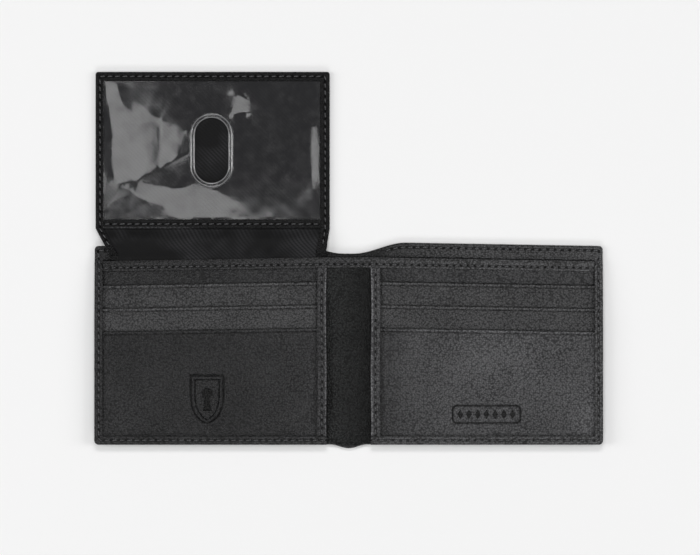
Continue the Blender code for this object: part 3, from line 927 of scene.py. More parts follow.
@dataclass(frozen=True)
class Stack:
    """Heights of the sheets over the table, as in the frame, and where the turned border bends."""

    shell: float = 0.8
    note_back: float = 1.2
    note_front: float = 1.65
    lining: float = 0.15
    backing: float = 1.95
    backing_over: float = 2.4
    top_slot: float = 2.55
    middle_slot: float = 3.15
    front: float = 3.75
    front_over: float = 4.25
    panel_over: float = 4.9
    low_hem_over: float = 2.0
    leather: float = 0.5
    left_band_lift: float = 0.6
    bends: tuple[float, float] = (7.2, 27.8)

    def border_over(self, y: Array, plan: Plan) -> Array:
        """Height of the turned border: it climbs with the number of sheets under it.

        Args:
            y: places along Y.
            plan: the wallet's plan.

        Returns:
            The heights.
        """
        places = (*self.bends, plan.wall - plan.band)
        heights = (self.panel_over, self.middle_slot + 0.6, self.top_slot + 0.6)
        return eased(y, places, heights, 3.0, 9)

    def band_lift(self, x: Array, side: Side) -> Array:
        """How far the top band stands up beside the spine, where the wing's tab goes under it."""
        raised = self.left_band_lift if side is Side.LEFT else 0.0
        return raised * smooth((np.abs(x) - 3.0) / 4.5)


SEAM_STEPS = np.array([1.3, 0.8, 0.5, 0.28, 0.1, -0.1, -0.28, -0.5, -0.8, -1.25])  # places across a seam


@dataclass
class Hem:
    """A sheet's edge that is folded over the sheets inside it and stitched down.

    outer is the outline and inner the hem's cut edge, station by station, with the heights of the
    underside and of the hem. Distances from the outline are measured square to the nearer side.
    """

    outer: Array
    inner: Array
    base: Array
    over: Array
    sewn: Array
    inset: float = 2.05
    tail: float = 2.75
    sheet: float = 0.8
    leather: float = 0.5
    # glow: a painted highlight along the top of the fold; shade: painted shade and light added to every
    # point of a station
    glow: float = 0.0
    shade: Array | float = 0.0

    def __post_init__(self) -> None:
        """Works out the direction from the outline to the hem's edge, and the hem's width."""
        gap = self.inner - self.outer
        reach = np.linalg.norm(gap, axis=1)
        self.across = gap / reach[:, None]
        self.square = np.maximum(np.abs(self.across).max(axis=1), 0.7)
        self.width = reach * self.square

    def mirrored(self, side: Side) -> "Hem":
        """The hem as it is on the right, or its mirror image on the left."""
        return replace(self, outer=self.outer * [side.value, 1], inner=self.inner * [side.value, 1])

    def lane(self) -> Array:
        """The seam's path: the outline moved inwards by the inset."""
        return self.outer + self.across * (self.inset / self.square)[:, None]

    def stitches(self, share: Array | float = 1.0) -> tuple[Array, Array]:
        """Stitches on both faces, for a share of the stations. Those behind are pulled in deeper.

        Args:
            share: above one half at the stations that this thread sews.

        Returns:
            The points and the quads.
        """
        lane, sewn = self.lane(), self.sewn * share
        over = BORDER_SEAM.rows(lane, self.over, sewn)
        return joined([over, BACK_SEAM.rows(lane, self.base, sewn, -0.19, -1.0)])

    def build(self, name: str) -> bpy.types.Object:
        """Carries the folded profile along the outline.

        The profile runs along the underside, round the outside, over the top to the hem's cut edge, and
        back along the inside. Both faces have a valley along the seam, which is deepest at the holes.

        Args:
            name: the piece's name.

        Returns:
            The object.
        """
        one = np.ones(len(self.outer))
        holes = BORDER_SEAM.holes(along(self.lane()))
        base, over, width, sewn = self.base * one, self.over * one, self.width, self.sewn
        profile: list[tuple[Array, Array, Array]] = []

        def put(s: Array, z: Array, tone: Array | float = 0.0) -> None:
            """Adds a profile point to every station: its inset, its height and its tone."""
            profile.append((np.minimum(s * one, width), z * one, tone * one))

        low, high = 0.3, np.minimum(0.6, 0.3 * (over - base))  # radii outside, below and above
        put(self.tail, base)
        # painted shade in the needle holes on the underside
        for away in SEAM_STEPS[1:]:
            dip = valley(away, 0.42)
            rise = sewn * (0.2 + 0.14 * holes) * dip
            put(self.inset + away, base + rise, -0.6 * sewn * holes * dip)
        for angle in np.linspace(0, math.pi / 2, 5):
            put(low * (1 - math.sin(angle)), base + low * (1 - math.cos(angle)))
        # over the fold's top: a painted highlight, as strong as glow
        for angle in np.linspace(0, math.pi / 2, 7):
            shine = self.glow * math.sin(angle) ** 4
            put(high * (1 - math.cos(angle)), over - high * (1 - math.sin(angle)), shine)
        # painted shade in the seam and its holes, painted highlights on the swells beside it, and next a
        # painted highlight on the cut edge
        for away in SEAM_STEPS[::-1]:
            dip = sewn * (0.16 * valley(away, 0.5) + 0.45 * holes * valley(away, 0.32))
            swell = sewn * valley(abs(away) - 0.95, 0.4)
            tone = 0.5 * swell - sewn * (0.3 + 0.75 * holes) * valley(away, 0.5)
            put(self.inset + away, over - dip + 0.1 * swell, tone)
        put(np.maximum(width - 0.5, self.inset + 1.35), over + 0.03, 0.25)
        for angle in np.linspace(0, math.pi / 2, 4):
            put(width - 0.22 * (1 - math.sin(angle)), over - 0.22 * (1 - math.cos(angle)))
        room = over - base - self.sheet  # between the sheet and the hem's upper face
        leather = np.minimum(self.leather, 0.8 * room)
        slack = 0.15 * (room - leather)
        put(width, over - leather)
        put(leather + 0.4, over - leather)
        put(leather, over - leather - slack)
        put(leather, base + self.sheet + slack)
        put(leather + 0.4, base + self.sheet)
        put(self.tail, base + self.sheet)
        s, z, tone = (np.stack(part, axis=1) for part in zip(*profile))
        s[:, [0, -1]] = self.tail
        plan = self.outer[:, None, :] + self.across[:, None, :] * (s / self.square[:, None])[..., None]
        tone = tone + np.reshape(self.shade * one, (-1, 1))
        return carried(name, np.concatenate([plan, z[..., None]], axis=2), tone)


def squeezed(places: Array, length: float, near: float, far: float, reach: float = 9.0) -> Array:
    """Where a hem's cut edge is, for places on the outline: pressed together towards the mitres.

    Args:
        places: distances of the stations from the side's first end, on the outline.
        length: the side's length.
        near: distance of the first mitre's inner end from the first end.
        far: distance of the last mitre's inner end from the last end.
        reach: how far from an end the stations are pressed together.

    Returns:
        The distances on the cut edge.
    """
    moved = np.where(places < reach, near + places * (reach - near) / reach, places)
    back = length - moved
    return np.where(back < reach, length - far - back * (reach - far) / reach, moved)


def arc(centre: tuple[float, float], radius: float, start: float, end: float, count: int) -> Array:
    """Points of a circle's arc between two angles in degrees, both ends left out."""
    angle = np.radians(np.linspace(start, end, count + 2)[1:-1])
    return np.stack([centre[0] + radius * np.cos(angle), centre[1] + radius * np.sin(angle)], axis=1)


def eased(
    y: Array, places: Sequence[float], heights: Sequence[float], over: float = 1.5, count: int = 7
) -> Array:
    """Straight lines between heights along Y, averaged over a few millimetres to round their bends."""
    near = np.linspace(-over, over, count)
    return np.interp(np.asarray(y)[..., None] + near, places, heights).mean(axis=-1)


# ---- Devices pressed into the front pockets ----


SLOPE = 0.35  # width of a pressed line's sloping sides


def pressed_line(distance: Array, width: float) -> Array:
    """1 inside a pressed line and 0 outside, with sloping sides."""
    return smooth((width / 2 + 0.18 - np.abs(distance)) / SLOPE)


@dataclass(frozen=True)
class ShieldDevice:
    """A plain shield with a keyhole, debossed with a heated die."""

    centre_x: float = 63.1
    centre_y: float = -24.3
    width: float = 15.6
    height: float = 21.9
    depth: float = 0.6

    def press(self, x: Array, y: Array) -> Array:
        """Depth of the pressing.

        The shield's half width stays level to 40 percent of its height and then falls as a quarter
        ellipse. Lines are where the distance inside that outline has a given value.

        Args:
            x: places along X.
            y: places along Y.

        Returns:
            The depth at each place.
        """
        across, below = np.abs(x - self.centre_x), self.centre_y + self.height / 2 - y
        share = np.clip((below / self.height - 0.4) / 0.6, 0.0, 0.999)
        half = self.width / 2 * np.sqrt(1 - share**2.2)
        lean = 1 / np.sqrt(1 + (self.width / self.height * share / np.sqrt(1 - share**2.2 + 0.02)) ** 2)
        inside = np.minimum(below, (half - across) * lean)
        lines = np.maximum(pressed_line(inside - 0.5, 0.9), pressed_line(inside - 2.4, 0.5))
        bow = np.hypot(across, y - self.centre_y - 2.6)
        stem = np.where((y < self.centre_y + 2.6) & (y > self.centre_y - 5.2), across - 0.9, 9.0)
        stem = stem - 0.12 * (self.centre_y + 2.6 - y)
        keyhole = smooth((0.2 - np.minimum(bow - 2.3, stem)) / SLOPE)
        return self.depth * np.maximum(lines, keyhole)


@dataclass(frozen=True)
class CartoucheDevice:
    """A plain rounded frame round a row of solid lozenges, debossed with a heated die."""

    centre_x: float = 61.4
    centre_y: float = -31.2
    width: float = 31.3
    height: float = 8.9
    depth: float = 0.6

    def press(self, x: Array, y: Array) -> Array:
        """Depth of the pressing: the distance to a rounded rectangle, and that to repeated lozenges.

        Args:
            x: places along X.
            y: places along Y.

        Returns:
            The depth at each place.
        """
        dx, dy = x - self.centre_x, y - self.centre_y
        radius, pitch = 2.4, 3.9
        qx = np.abs(dx) - (self.width / 2 - radius)
        qy = np.abs(dy) - (self.height / 2 - radius)
        outside = np.hypot(np.maximum(qx, 0), np.maximum(qy, 0)) + np.minimum(np.maximum(qx, qy), 0) - radius
        frame_line = pressed_line(outside + 0.6, 1.05)
        wrapped = np.abs((dx + pitch / 2) % pitch - pitch / 2)
        lozenge = (wrapped / 1.6 + np.abs(dy) / 2.6 - 1) * 1.3
        row = np.where(np.abs(dx) < 3.4 * pitch, smooth((0.1 - lozenge) / SLOPE), 0.0)
        return self.depth * np.maximum(frame_line, row)


# ---- A card panel, with its half of the spine ----


def lining_sheet(
    name: str, patch: Patch, heights: tuple[Array | float, Array | float], looks: Finishes,
    rests_on: Sequence[str], *nodes: str,
) -> bpy.types.Object:
    """A sheet of twill lining, the size of its plan.

    Args:
        name: the piece's name.
        patch: its plan.
        heights: those of its underside and of its upper side.
        looks: the finishes.
        rests_on: what it lies on; not used.
        nodes: what it stands for.

    Returns:
        The object.
    """
    under, over = (height * np.ones_like(patch.x) for height in heights)
    made = patch.solid(f"{name}_twill", under, over, 0.03)
    finish_piece(made, looks.lining, "twill_lining", *nodes)
    return made


@dataclass
class Panel:
    """One card panel: shell, note compartment, card slots, front pocket, band and gusset."""

    side: Side
    plan: Plan
    stack: Stack
    looks: Finishes
    device: ShieldDevice | CartoucheDevice
    slot_tops: tuple[float, float] = (26.9, 16.6)
    slot_feet: tuple[float, float] = (-23.1, -33.4)
    front_top: float = 6.3
    facing_height: float = 15.0
    pocket_inner: float = 10.5
    stack_outer: float = 112.75
    stack_bottom: float = -44.1
    stack_corner: float = 1.35
    bottom_corner: float = 2.0
    top_corner: float = 1.6
    hem_over_wall: float = 0.3
    spine_fold: tuple[float, float] = (3.4, 7.8)
    inner_fold: tuple[float, float] = (2.0, 9.8)

    def named(self, stem: str) -> str:
        """A piece's name with the panel's side."""
        return f"{stem}_{self.side.word}"

    def bend(self, piece: bpy.types.Object, fold: tuple[float, float]) -> None:
        """Bakes a piece's transform into its mesh.

        Args:
            piece: the piece.
            fold: where the bend starts and ends; not used.
        """
        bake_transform(piece)

    def spread(
        self, inner: float, outer: float, low: Edge, high: Edge, steps: tuple[int, int], corner: float = 0.0
    ) -> Patch:
        """A plain patch of this panel, with a number of steps across and up.

        Args:
            inner: the edge nearer the spine.
            outer: the edge farther from it.
            low: the bottom edge.
            high: the top edge.
            steps: how many across and up.
            corner: radius of its corners.

        Returns:
            The patch, on this panel's side.
        """
        across, up = (Lines.even(count, RIM) for count in steps)
        return Patch.spanning(across, up, inner, outer, low, high, corner).mirrored(self.side)

    def shell_hems(self) -> tuple[Hem, Hem, Array]:
        """The shell's turned edge, and its plain edge at the spine.

        Returns:
            Both hems as on the right, and 1 at the stations of the first that the border's thread sews.
        """
        plan, border, r, top_r = self.plan, self.plan.border, self.bottom_corner, self.top_corner
        wide, side_y = plan.half_width, plan.bottom + r
        end_y = float(plan.shell_top(np.array(wide))) - top_r
        mitre_x = wide - border
        mitre_y = float(plan.wall_top(np.array(mitre_x))) + self.hem_over_wall
        low, side, top = wide - r - plan.half_spine, end_y - plan.bottom - r, wide - top_r
        low_run, side_run, top_run = paces(low), paces(side), paces(top)
        low_x, top_x = plan.half_spine + low_run, top - top_run
        in_x = top - squeezed(top_run, top, border - top_r, 0.0)
        outer = np.concatenate([
            paired(low_x, plan.shell_bottom(low_x)),
            arc((wide - r, side_y), r, -90, 0, TURN),
            paired(wide, side_y + side_run),
            arc((wide - top_r, end_y), top_r, 0, 90, TURN),
            paired(top_x, plan.shell_top(top_x)),
        ])
        inner = np.concatenate([
            paired(plan.half_spine + squeezed(low_run, low, 0.0, border - r), plan.bottom + border),
            np.tile([mitre_x, plan.bottom + border], (TURN, 1)),
            paired(mitre_x, side_y + squeezed(side_run, side, border - r, end_y - mitre_y)),
            np.tile([mitre_x, mitre_y], (TURN, 1)),
            paired(in_x, plan.wall_top(in_x) + self.hem_over_wall),
        ])
        x, y = outer.T
        station, sides = np.arange(len(outer)), len(low_run) + TURN + len(side_run)
        low_over = self.stack.low_hem_over
        over = self.stack.border_over(y, plan)
        # from the height of the stack to that of the top hem
        step_down = eased(y, (36.4, 38.8), (over[sides - 1], low_over), 0.8)
        over = np.where(y > 35.5, step_down, over)
        over = np.where(station >= sides, low_over, over)
        sewn = np.where(station < sides, 1.0, smooth((x - 16.0) / 1.5))
        # painted shade on the top hem, darker towards the spine, and a little painted light on the border
        shade = np.where(station >= sides, -0.25 - 0.4 * smooth((45.0 - x) / 30.0), 0.1)
        around = Hem(outer, inner, np.zeros(len(outer)), over, sewn, shade=shade)
        x = np.linspace(0.0, plan.half_spine, 30)
        lip, zero = paired(x, plan.shell_bottom(x)), np.zeros(len(x))
        return around, Hem(lip, lip + [0.0, 0.7], zero, zero + low_over, zero), 1.0 * (station < sides + 5)

    def shell(self) -> None:
        """Outer shell: a back sheet whose edges are turned over the stack, and their stitches."""
        plan, inset = self.plan, self.plan.back_inset
        around, lip, by_border = self.shell_hems()
        around, lip = around.mirrored(self.side), lip.mirrored(self.side)
        patch = self.spread(
            0.0, plan.half_width - inset, lambda x: plan.shell_bottom(x) + inset,
            lambda x: plan.shell_top(x) - inset, (110, 80),
        )
        wave = 1 + ripple(patch.x, patch.y, 47.0, 1.3 * self.side.value)
        under = 0.07 * wave * smooth(patch.rim / 5.0)
        over = np.full_like(under, self.stack.shell)
        made = merged([
            patch.solid(self.named("outer_shell") + "_leather", under, over, 0.05),
            around.build(self.named("shell_edge")),
            lip.build(self.named("spine_lip")),
        ])
        finish_piece(made, self.looks.shell, "shell_leather", self.named("outer_shell"), "outer_shell_spine")
        self.bend(made, self.spine_fold)
        for stem, share in (("border_thread", by_border), ("top_hem_thread", 1 - by_border)):
            name = self.named(stem)
            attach(stitched(name, around.stitches(share), self.looks, name), self.side.panel)

    def linings(self) -> None:
        """The note compartment's two twill linings, and the shielding foil behind them."""
        plan, stack = self.plan, self.stack
        for stem, top, drop, under, fold in (
            ("note_lining_back", plan.shell_top, 0.65, stack.note_back, self.spine_fold),
            ("note_lining_front", plan.wall_top, 0.1, stack.note_front, self.inner_fold),
        ):
            patch = self.spread(
                0.0, self.stack_outer, level(self.stack_bottom), lambda x: top(x) - drop, (70, 30),
                self.stack_corner,
            )
            wave = 0.03 * ripple(patch.x, patch.y, 30.0, under)
            made = lining_sheet(
                self.named(stem), patch, (under + wave, under + stack.lining + wave), self.looks,
                [self.named("outer_shell")], self.named(stem), f"{stem}_spine",
            )
            self.bend(made, fold)
        for slot in bpy.data.objects[self.named("shield_foil")].material_slots:
            slot.material = self.looks.foil

    def backing(self) -> None:
        """Leather behind the slots, and its edge turned over the pockets beside the spine."""
        plan, stack, spine = self.plan, self.stack, self.plan.half_spine
        lap = plan.wall - self.slot_tops[0]
        fine = [(0.0, 0.4, 0.1), (lap - 1.0, lap + 0.6, 0.15)]  # at the rim and at the top slot's edge
        rows = graded(plan.wall - self.stack_bottom - 4.0, 1.4, fine)
        patch = Patch.spanning(
            Lines.even(90, RIM), Lines.from_ends(np.array(RIM), rows), spine + plan.back_inset,
            self.stack_outer, level(self.stack_bottom), plan.wall_top, self.stack_corner,
        ).mirrored(self.side)
        over = stack.backing_over + 0.06 * ripple(patch.x, patch.y, 21.0, 4.0)
        # painted shadow under the top slot's edge and along the border, and painted shade over all of the
        # right backing
        shade = lap_tone(patch.y - plan.fallen(patch.x, self.slot_tops[0])) + self.border_tone(patch)
        shade = shade - (0.3 if self.side is Side.RIGHT else 0.0)
        top = float(plan.wall_top(np.array(spine))) - plan.band + 0.15
        y = np.linspace(self.stack_bottom + 0.1, top, 190)
        outer = paired(spine + 0.12 * np.sin(y / 9.0) * smooth((y + 40) / 8), y)
        hem_foot = plan.bottom + plan.border
        height = np.where(y < hem_foot + 0.1, stack.front_over, stack.border_over(y, plan))
        sewn = smooth((y - plan.bottom - plan.border) / 0.5) * smooth((top - y) / 1.0)
        # glow paints a highlight along the fold beside the gusset
        hem = Hem(
            outer, outer + [plan.spine_border, 0], np.full_like(y, stack.backing), height, sewn, inset=2.1,
            sheet=0.45, glow=2.6,
        ).mirrored(self.side)
        under = np.full_like(over, stack.backing)
        made = merged([
            patch.solid(self.named("card_backing") + "_leather", under, over, 0.15, shade),
            hem.build(self.named("spine_edge")),
        ])
        finish_piece(made, self.looks.pocket, "pocket_leather", self.named("card_backing"))
        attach(made, self.side.panel)
        name = self.named("spine_edge_thread")
        rows = BORDER_SEAM.rows(hem.lane(), height, sewn)
        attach(stitched(name, rows, self.looks, name), self.side.panel)

    def facings(self) -> None:
        """The two slot facings, whose top edges are folded, and the twill pockets sewn to them."""
        plan, tall = self.plan, self.facing_height
        step = self.slot_tops[0] - self.slot_tops[1]
        zones = [(0.0, 2.6, 0.12), (step - 1.0, step + 0.6, 0.15)]
        fine = Lines.from_ends(np.array([0, 0.1, 0.4, 1.0]), graded(tall - 1.5, 0.7, zones))
        for stem, top, foot, under in (
            ("top_slot", self.slot_tops[0], self.slot_feet[0], self.stack.top_slot),
            ("middle_slot", self.slot_tops[1], self.slot_feet[1], self.stack.middle_slot),
        ):
            patch = Patch.spanning(
                Lines.even(108, RIM), fine, self.pocket_inner, self.stack_outer,
                lambda x: plan.fallen(x, top) - tall, lambda x: plan.fallen(x, top),
            ).mirrored(self.side)
            below = plan.fallen(patch.x, top) - patch.y
            wave = 0.05 * ripple(patch.x, patch.y, 26.0, under * self.side.value)
            over = under + 0.45 + wave + folded_edge(below)
            # painted highlight on the folded edge, painted shade in its crease, and painted shadows under
            # the next edge and along the border
            shade = edge_tone(below) + lap_tone(step - below) + self.border_tone(patch)
            name = self.named(f"{stem}_facing")
            made = patch.solid(f"{name}_leather", np.full_like(over, under), over, 0.14, shade)
            finish_piece(made, self.looks.slot, "pocket_leather", name)
            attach(made, self.side.panel)
            pocket = self.spread(
                self.pocket_inner, self.stack_outer, level(foot),
                lambda x: plan.fallen(x, top) - tall - 0.15, (40, 20),
            )
            name, lift = self.named(f"{stem}_pocket"), under + 0.15
            heights, rests_on = (lift, lift + self.stack.lining), [self.named("card_backing")]
            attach(lining_sheet(name, pocket, heights, self.looks, rests_on, name), self.side.panel)

    def front(self) -> None:
        """The front pocket: folded top edge, a slight crown, and its pressed device."""
        device, plan, margin = self.device, self.plan, 0.6
        x_low = device.centre_x - device.width / 2 - margin - self.pocket_inner
        x_high = x_low + device.width + 2 * margin
        y_low = device.centre_y - device.height / 2 - margin - self.stack_bottom
        y_high = y_low + device.height + 2 * margin
        wide, tall = self.stack_outer - self.pocket_inner, self.front_top - self.stack_bottom
        columns = graded(wide, 1.3, [(0.0, 0.4, 0.1), (x_low, x_high, 0.24), (wide - 0.4, wide, 0.1)])
        rows = graded(tall - 4.5, 1.1, [(0.0, 0.4, 0.1), (y_low, y_high, 0.24)])
        patch = Patch.spanning(
            Lines.at(columns), Lines.from_ends(rows, graded(3.0, 0.3, [(0.0, 2.6, 0.12)])),
            self.pocket_inner, self.stack_outer, level(self.stack_bottom),
            lambda x: plan.fallen(x, self.front_top),
        ).mirrored(self.side)
        below = plan.fallen(patch.x, self.front_top) - patch.y
        crown = 0.34 * smooth((patch.rim - 3.0) / 16.0)
        wave = 0.07 * ripple(patch.x, patch.y, 34.0, 2.0 + self.side.value) * smooth(patch.rim / 6.0)
        over = self.stack.front_over + crown + wave + folded_edge(below)
        pressed = device.press(np.abs(patch.x), patch.y)
        # painted shade in the pressed lines and painted highlights on their sloping sides, with the folded
        # edge's painted light, painted border shadows and painted light patches
        pressed_share = pressed / device.depth
        shade = edge_tone(below) + self.border_tone(patch) - 0.9 * pressed_share + 5.2 * pressed_share * (1 - pressed_share)
        shade = shade + self.rubbed(patch)
        under = np.minimum(self.stack.front, over - pressed - 0.13)
        name = self.named("front_pocket")
        made = patch.solid(f"{name}_leather", under, over - pressed, 0.14, shade)
        finish_piece(made, self.looks.pocket, "pocket_leather", name)
        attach(made, self.side.panel)

    def border_tone(self, patch: Patch) -> Array:
        """Painted shadow: dark lines where the turned border and the spine's edge lie over a pocket.

        Args:
            patch: the pocket's plan.

        Returns:
            The tone at each place.
        """
        plan, x = self.plan, np.abs(patch.x)
        sides = valley(plan.half_width - plan.border - 0.3 - x, 0.5)
        sides = sides + valley(x - plan.half_spine - plan.spine_border - 0.3, 0.6)
        return -0.6 * np.maximum(sides, valley(patch.y - plan.bottom - plan.border - 0.25, 0.5))

    def rubbed(self, patch: Patch) -> Array:
        """Painted light on a front pocket: lighter bell-shaped patches, and painted shade at the spine end.

        Args:
            patch: the pocket's plan.

        Returns:
            The tone at each place.
        """
        x, y = np.abs(patch.x), patch.y
        if self.side is Side.LEFT:
            return 0.35 * np.exp(-(((x - 104) / 14) ** 2) - ((y + 36) / 14) ** 2) - 0.1
        high = 0.3 * np.exp(-(((x - 72) / 26) ** 2) - ((y + 4) / 18) ** 2)
        low = 0.35 * np.exp(-(((x - 107) / 9) ** 2) - ((y + 30) / 14) ** 2)
        return high + low - 0.3 * smooth((32 - x) / 18)

    def band(self) -> None:
        """Top band of the inner wall, from the middle of the spine to the border, with its stitches."""
        plan, stack, side = self.plan, self.stack, self.side
        outer = plan.half_width - plan.border - 0.15
        columns = np.linspace(0.0, outer, int(outer / 0.4))
        rise = plan.band - plan.band_seam
        fine = [(0.0, 0.4, 0.08), (rise - 0.7, rise + 0.7, 0.12), (plan.band - 0.5, plan.band, 0.08)]
        rows = graded(plan.band, 0.25, fine)
        patch = Patch.spanning(
            Lines.at(columns), Lines.at(rows), 0.0, outer,
            lambda x: plan.wall_top(x) - plan.band, plan.wall_top,
        )
        away = patch.y - (plan.wall_top(patch.x) - plan.band + rise)
        foot = patch.y - (plan.wall_top(patch.x) - plan.band)
        holes = BAND_SEAM.holes(columns)[:, None]
        groove = 0.14 * valley(away, 0.5) + 0.34 * holes * valley(away, 0.34)
        under = stack.top_slot + stack.band_lift(patch.x, side)
        over = under + stack.leather - groove + 0.12 * valley(away - 1.6, 0.9)
        # painted highlights along the band's foot and beside the seam, and painted shade in the seam and its
        # holes
        shade = 0.6 * valley(foot - 0.35, 0.3) + 0.4 * valley(away - 1.3, 0.6)
        shade = shade - (0.25 + 0.8 * holes) * valley(away, 0.55)
        name = self.named("top_band")
        made = patch.mirrored(side).solid(f"{name}_leather", under, over, 0.2, shade)
        finish_piece(made, self.looks.shell, "shell_leather", name, "top_band_spine")
        self.bend(made, self.inner_fold)
        lane = paired(side.value * columns, plan.wall_top(columns) - plan.band + rise)
        ground = stack.top_slot + stack.leather + stack.band_lift(columns, side)
        rows = BAND_SEAM.rows(lane, ground, lift=-0.02)
        made = stitched(name, rows, self.looks, f"{name}_thread", "top_band_spine_thread")
        self.bend(made, self.inner_fold)

    def gusset(self) -> None:
        """The soft leather between the panels, which sags in long upright folds."""
        plan, wide = self.plan, self.plan.half_spine - 0.05
        columns = graded(wide, 0.35, [(plan.half_spine - 0.5, wide, 0.1)])
        patch = Patch.spanning(
            Lines.at(columns), Lines.even(70, RIM), 0.0, columns[-1],
            level(self.stack_bottom), plan.wall_top,
        ).mirrored(self.side)
        x, y = patch.x, patch.y
        free = smooth((plan.wall - plan.band - 3.0 - y) / 12.0) * smooth((y - self.stack_bottom) / 9.0)
        centre = -3.4 + 0.7 * np.sin((y + 10) / 19.0)
        lift = (1.25 * valley(x - centre, 6.2) + 0.1 * ripple(x, y, 23.0, 0.7)) * free
        lift = lift * smooth((plan.half_spine - np.abs(x)) / 3.0)
        under = self.stack.backing + np.maximum(lift, -0.05)
        # painted light: lighter at the left, darker at the right, with a lighter patch low on the left
        shade = 0.5 - 0.85 * smooth((x + 9.5) / 19.0) + 0.5 * valley(x + 8.0, 2.5) * smooth((-25 - y) / 15.0)
        name = self.named("gusset_edge")
        made = patch.solid(f"{name}_leather", under, under + 0.45, 0.15, shade)
        finish_piece(made, self.looks.gusset, "shell_leather", name, "spine_gusset")
        self.bend(made, self.inner_fold)

    def build(self) -> None:
        """Makes every piece of the panel."""
        self.shell()
        self.linings()
        self.backing()
        self.facings()
        self.front()
        self.band()
        self.gusset()


def folded_edge(below: Array) -> Array:
    """Relief of a folded edge: a roll 0.4 mm below the edge and a crease 1.2 mm below it."""
    return 0.1 * valley(below - 0.45, 0.4) - 0.15 * valley(below - 1.2, 0.22)


def edge_tone(below: Array) -> Array:
    """Painted light of a folded edge: a painted highlight on its roll, and painted shade in the crease under
    it.
    """
    return 0.55 * valley(below - 0.6, 0.42) - 0.75 * valley(below - 1.35, 0.3)


def lap_tone(above: Array) -> Array:
    """Painted shadow on a sheet that goes under the next one's edge: dark just above that edge."""
    return -0.9 * valley(np.maximum(above, 0.0), 0.45)


# ---- The identity wing ----


@dataclass(frozen=True)
class Slack:
    """A patch of the film that stands up: its outline, and the slope that it wants along X and Y."""

    outline: tuple[tuple[float, float], ...]
    slope: tuple[float, float]

    def holds(self, x: Array, y: Array) -> Array:
        """1 inside the outline and 0 outside: counts how often a ray crosses it, and keeps the oddness.

        Args:
            x: places along X.
            y: places along Y.

        Returns:
            The counts' oddness.
        """
        inside = np.zeros(x.shape, bool)
        for (ax, ay), (bx, by) in zip(self.outline, self.outline[1:] + self.outline[:1]):
            crosses = (ay > y) != (by > y)
            meet = ax + (y - ay) * (bx - ax) / (by - ay if by != ay else 1.0)
            inside ^= crosses & (x < meet)
        return inside.astype(float)


RAYS = 288
NEAR_HOLE = (0, 0.05, 0.15, 0.28, 0.4, 0.52, 0.65, 0.85, 1.1, 1.35, 1.5, 1.65, 1.75, 1.87, 2.0, 2.2, 2.5)
SLACK = (
    Slack(  # the tall bulge at the left
        (
            (-108.9, 116.8), (-104.0, 116.8), (-101.8, 106.9), (-94.6, 105.1), (-87.9, 103.3),
            (-82.1, 99.4), (-76.7, 97.6), (-70.7, 94.5), (-68.0, 89.0), (-75.2, 83.5), (-84.3, 79.1),
            (-91.1, 76.4), (-95.1, 71.6), (-103.6, 71.6), (-105.4, 82.3), (-106.3, 100.2),
        ),
        (0.07, 0.0),
    ),
    Slack(  # its right part, which is steeper
        ((-84.0, 99.5), (-76.7, 97.6), (-70.7, 94.5), (-68.0, 89.0), (-75.2, 83.5), (-84.0, 79.1)),
        (0.03, 0.0),
    ),
    Slack(  # the long bulge under the hole
        (
            (-103.6, 71.6), (-95.1, 71.2), (-84.3, 69.8), (-74.5, 69.4), (-70.0, 72.5), (-65.1, 71.2),
            (-56.6, 67.6), (-50.4, 63.1), (-52.2, 56.0), (-79.0, 56.0), (-82.1, 62.2), (-91.1, 65.4),
        ),
        (0.0, 0.07),
    ),
    Slack(  # the fold between the two
        (
            (-95.0, 72.6), (-91.0, 76.0), (-84.0, 79.0), (-75.0, 83.0), (-69.0, 87.0), (-66.0, 80.0),
            (-72.0, 75.0), (-80.0, 72.8),
        ),
        (-0.07, 0.0),
    ),
    Slack(((-51.7, 111.4), (-46.2, 111.4), (-43.7, 102.5), (-52.6, 102.5)), (0.0, 0.21)),
    Slack(((-17.5, 98.0), (-12.8, 98.0), (-12.8, 69.4), (-17.0, 69.4)), (-0.06, 0.0)),
)
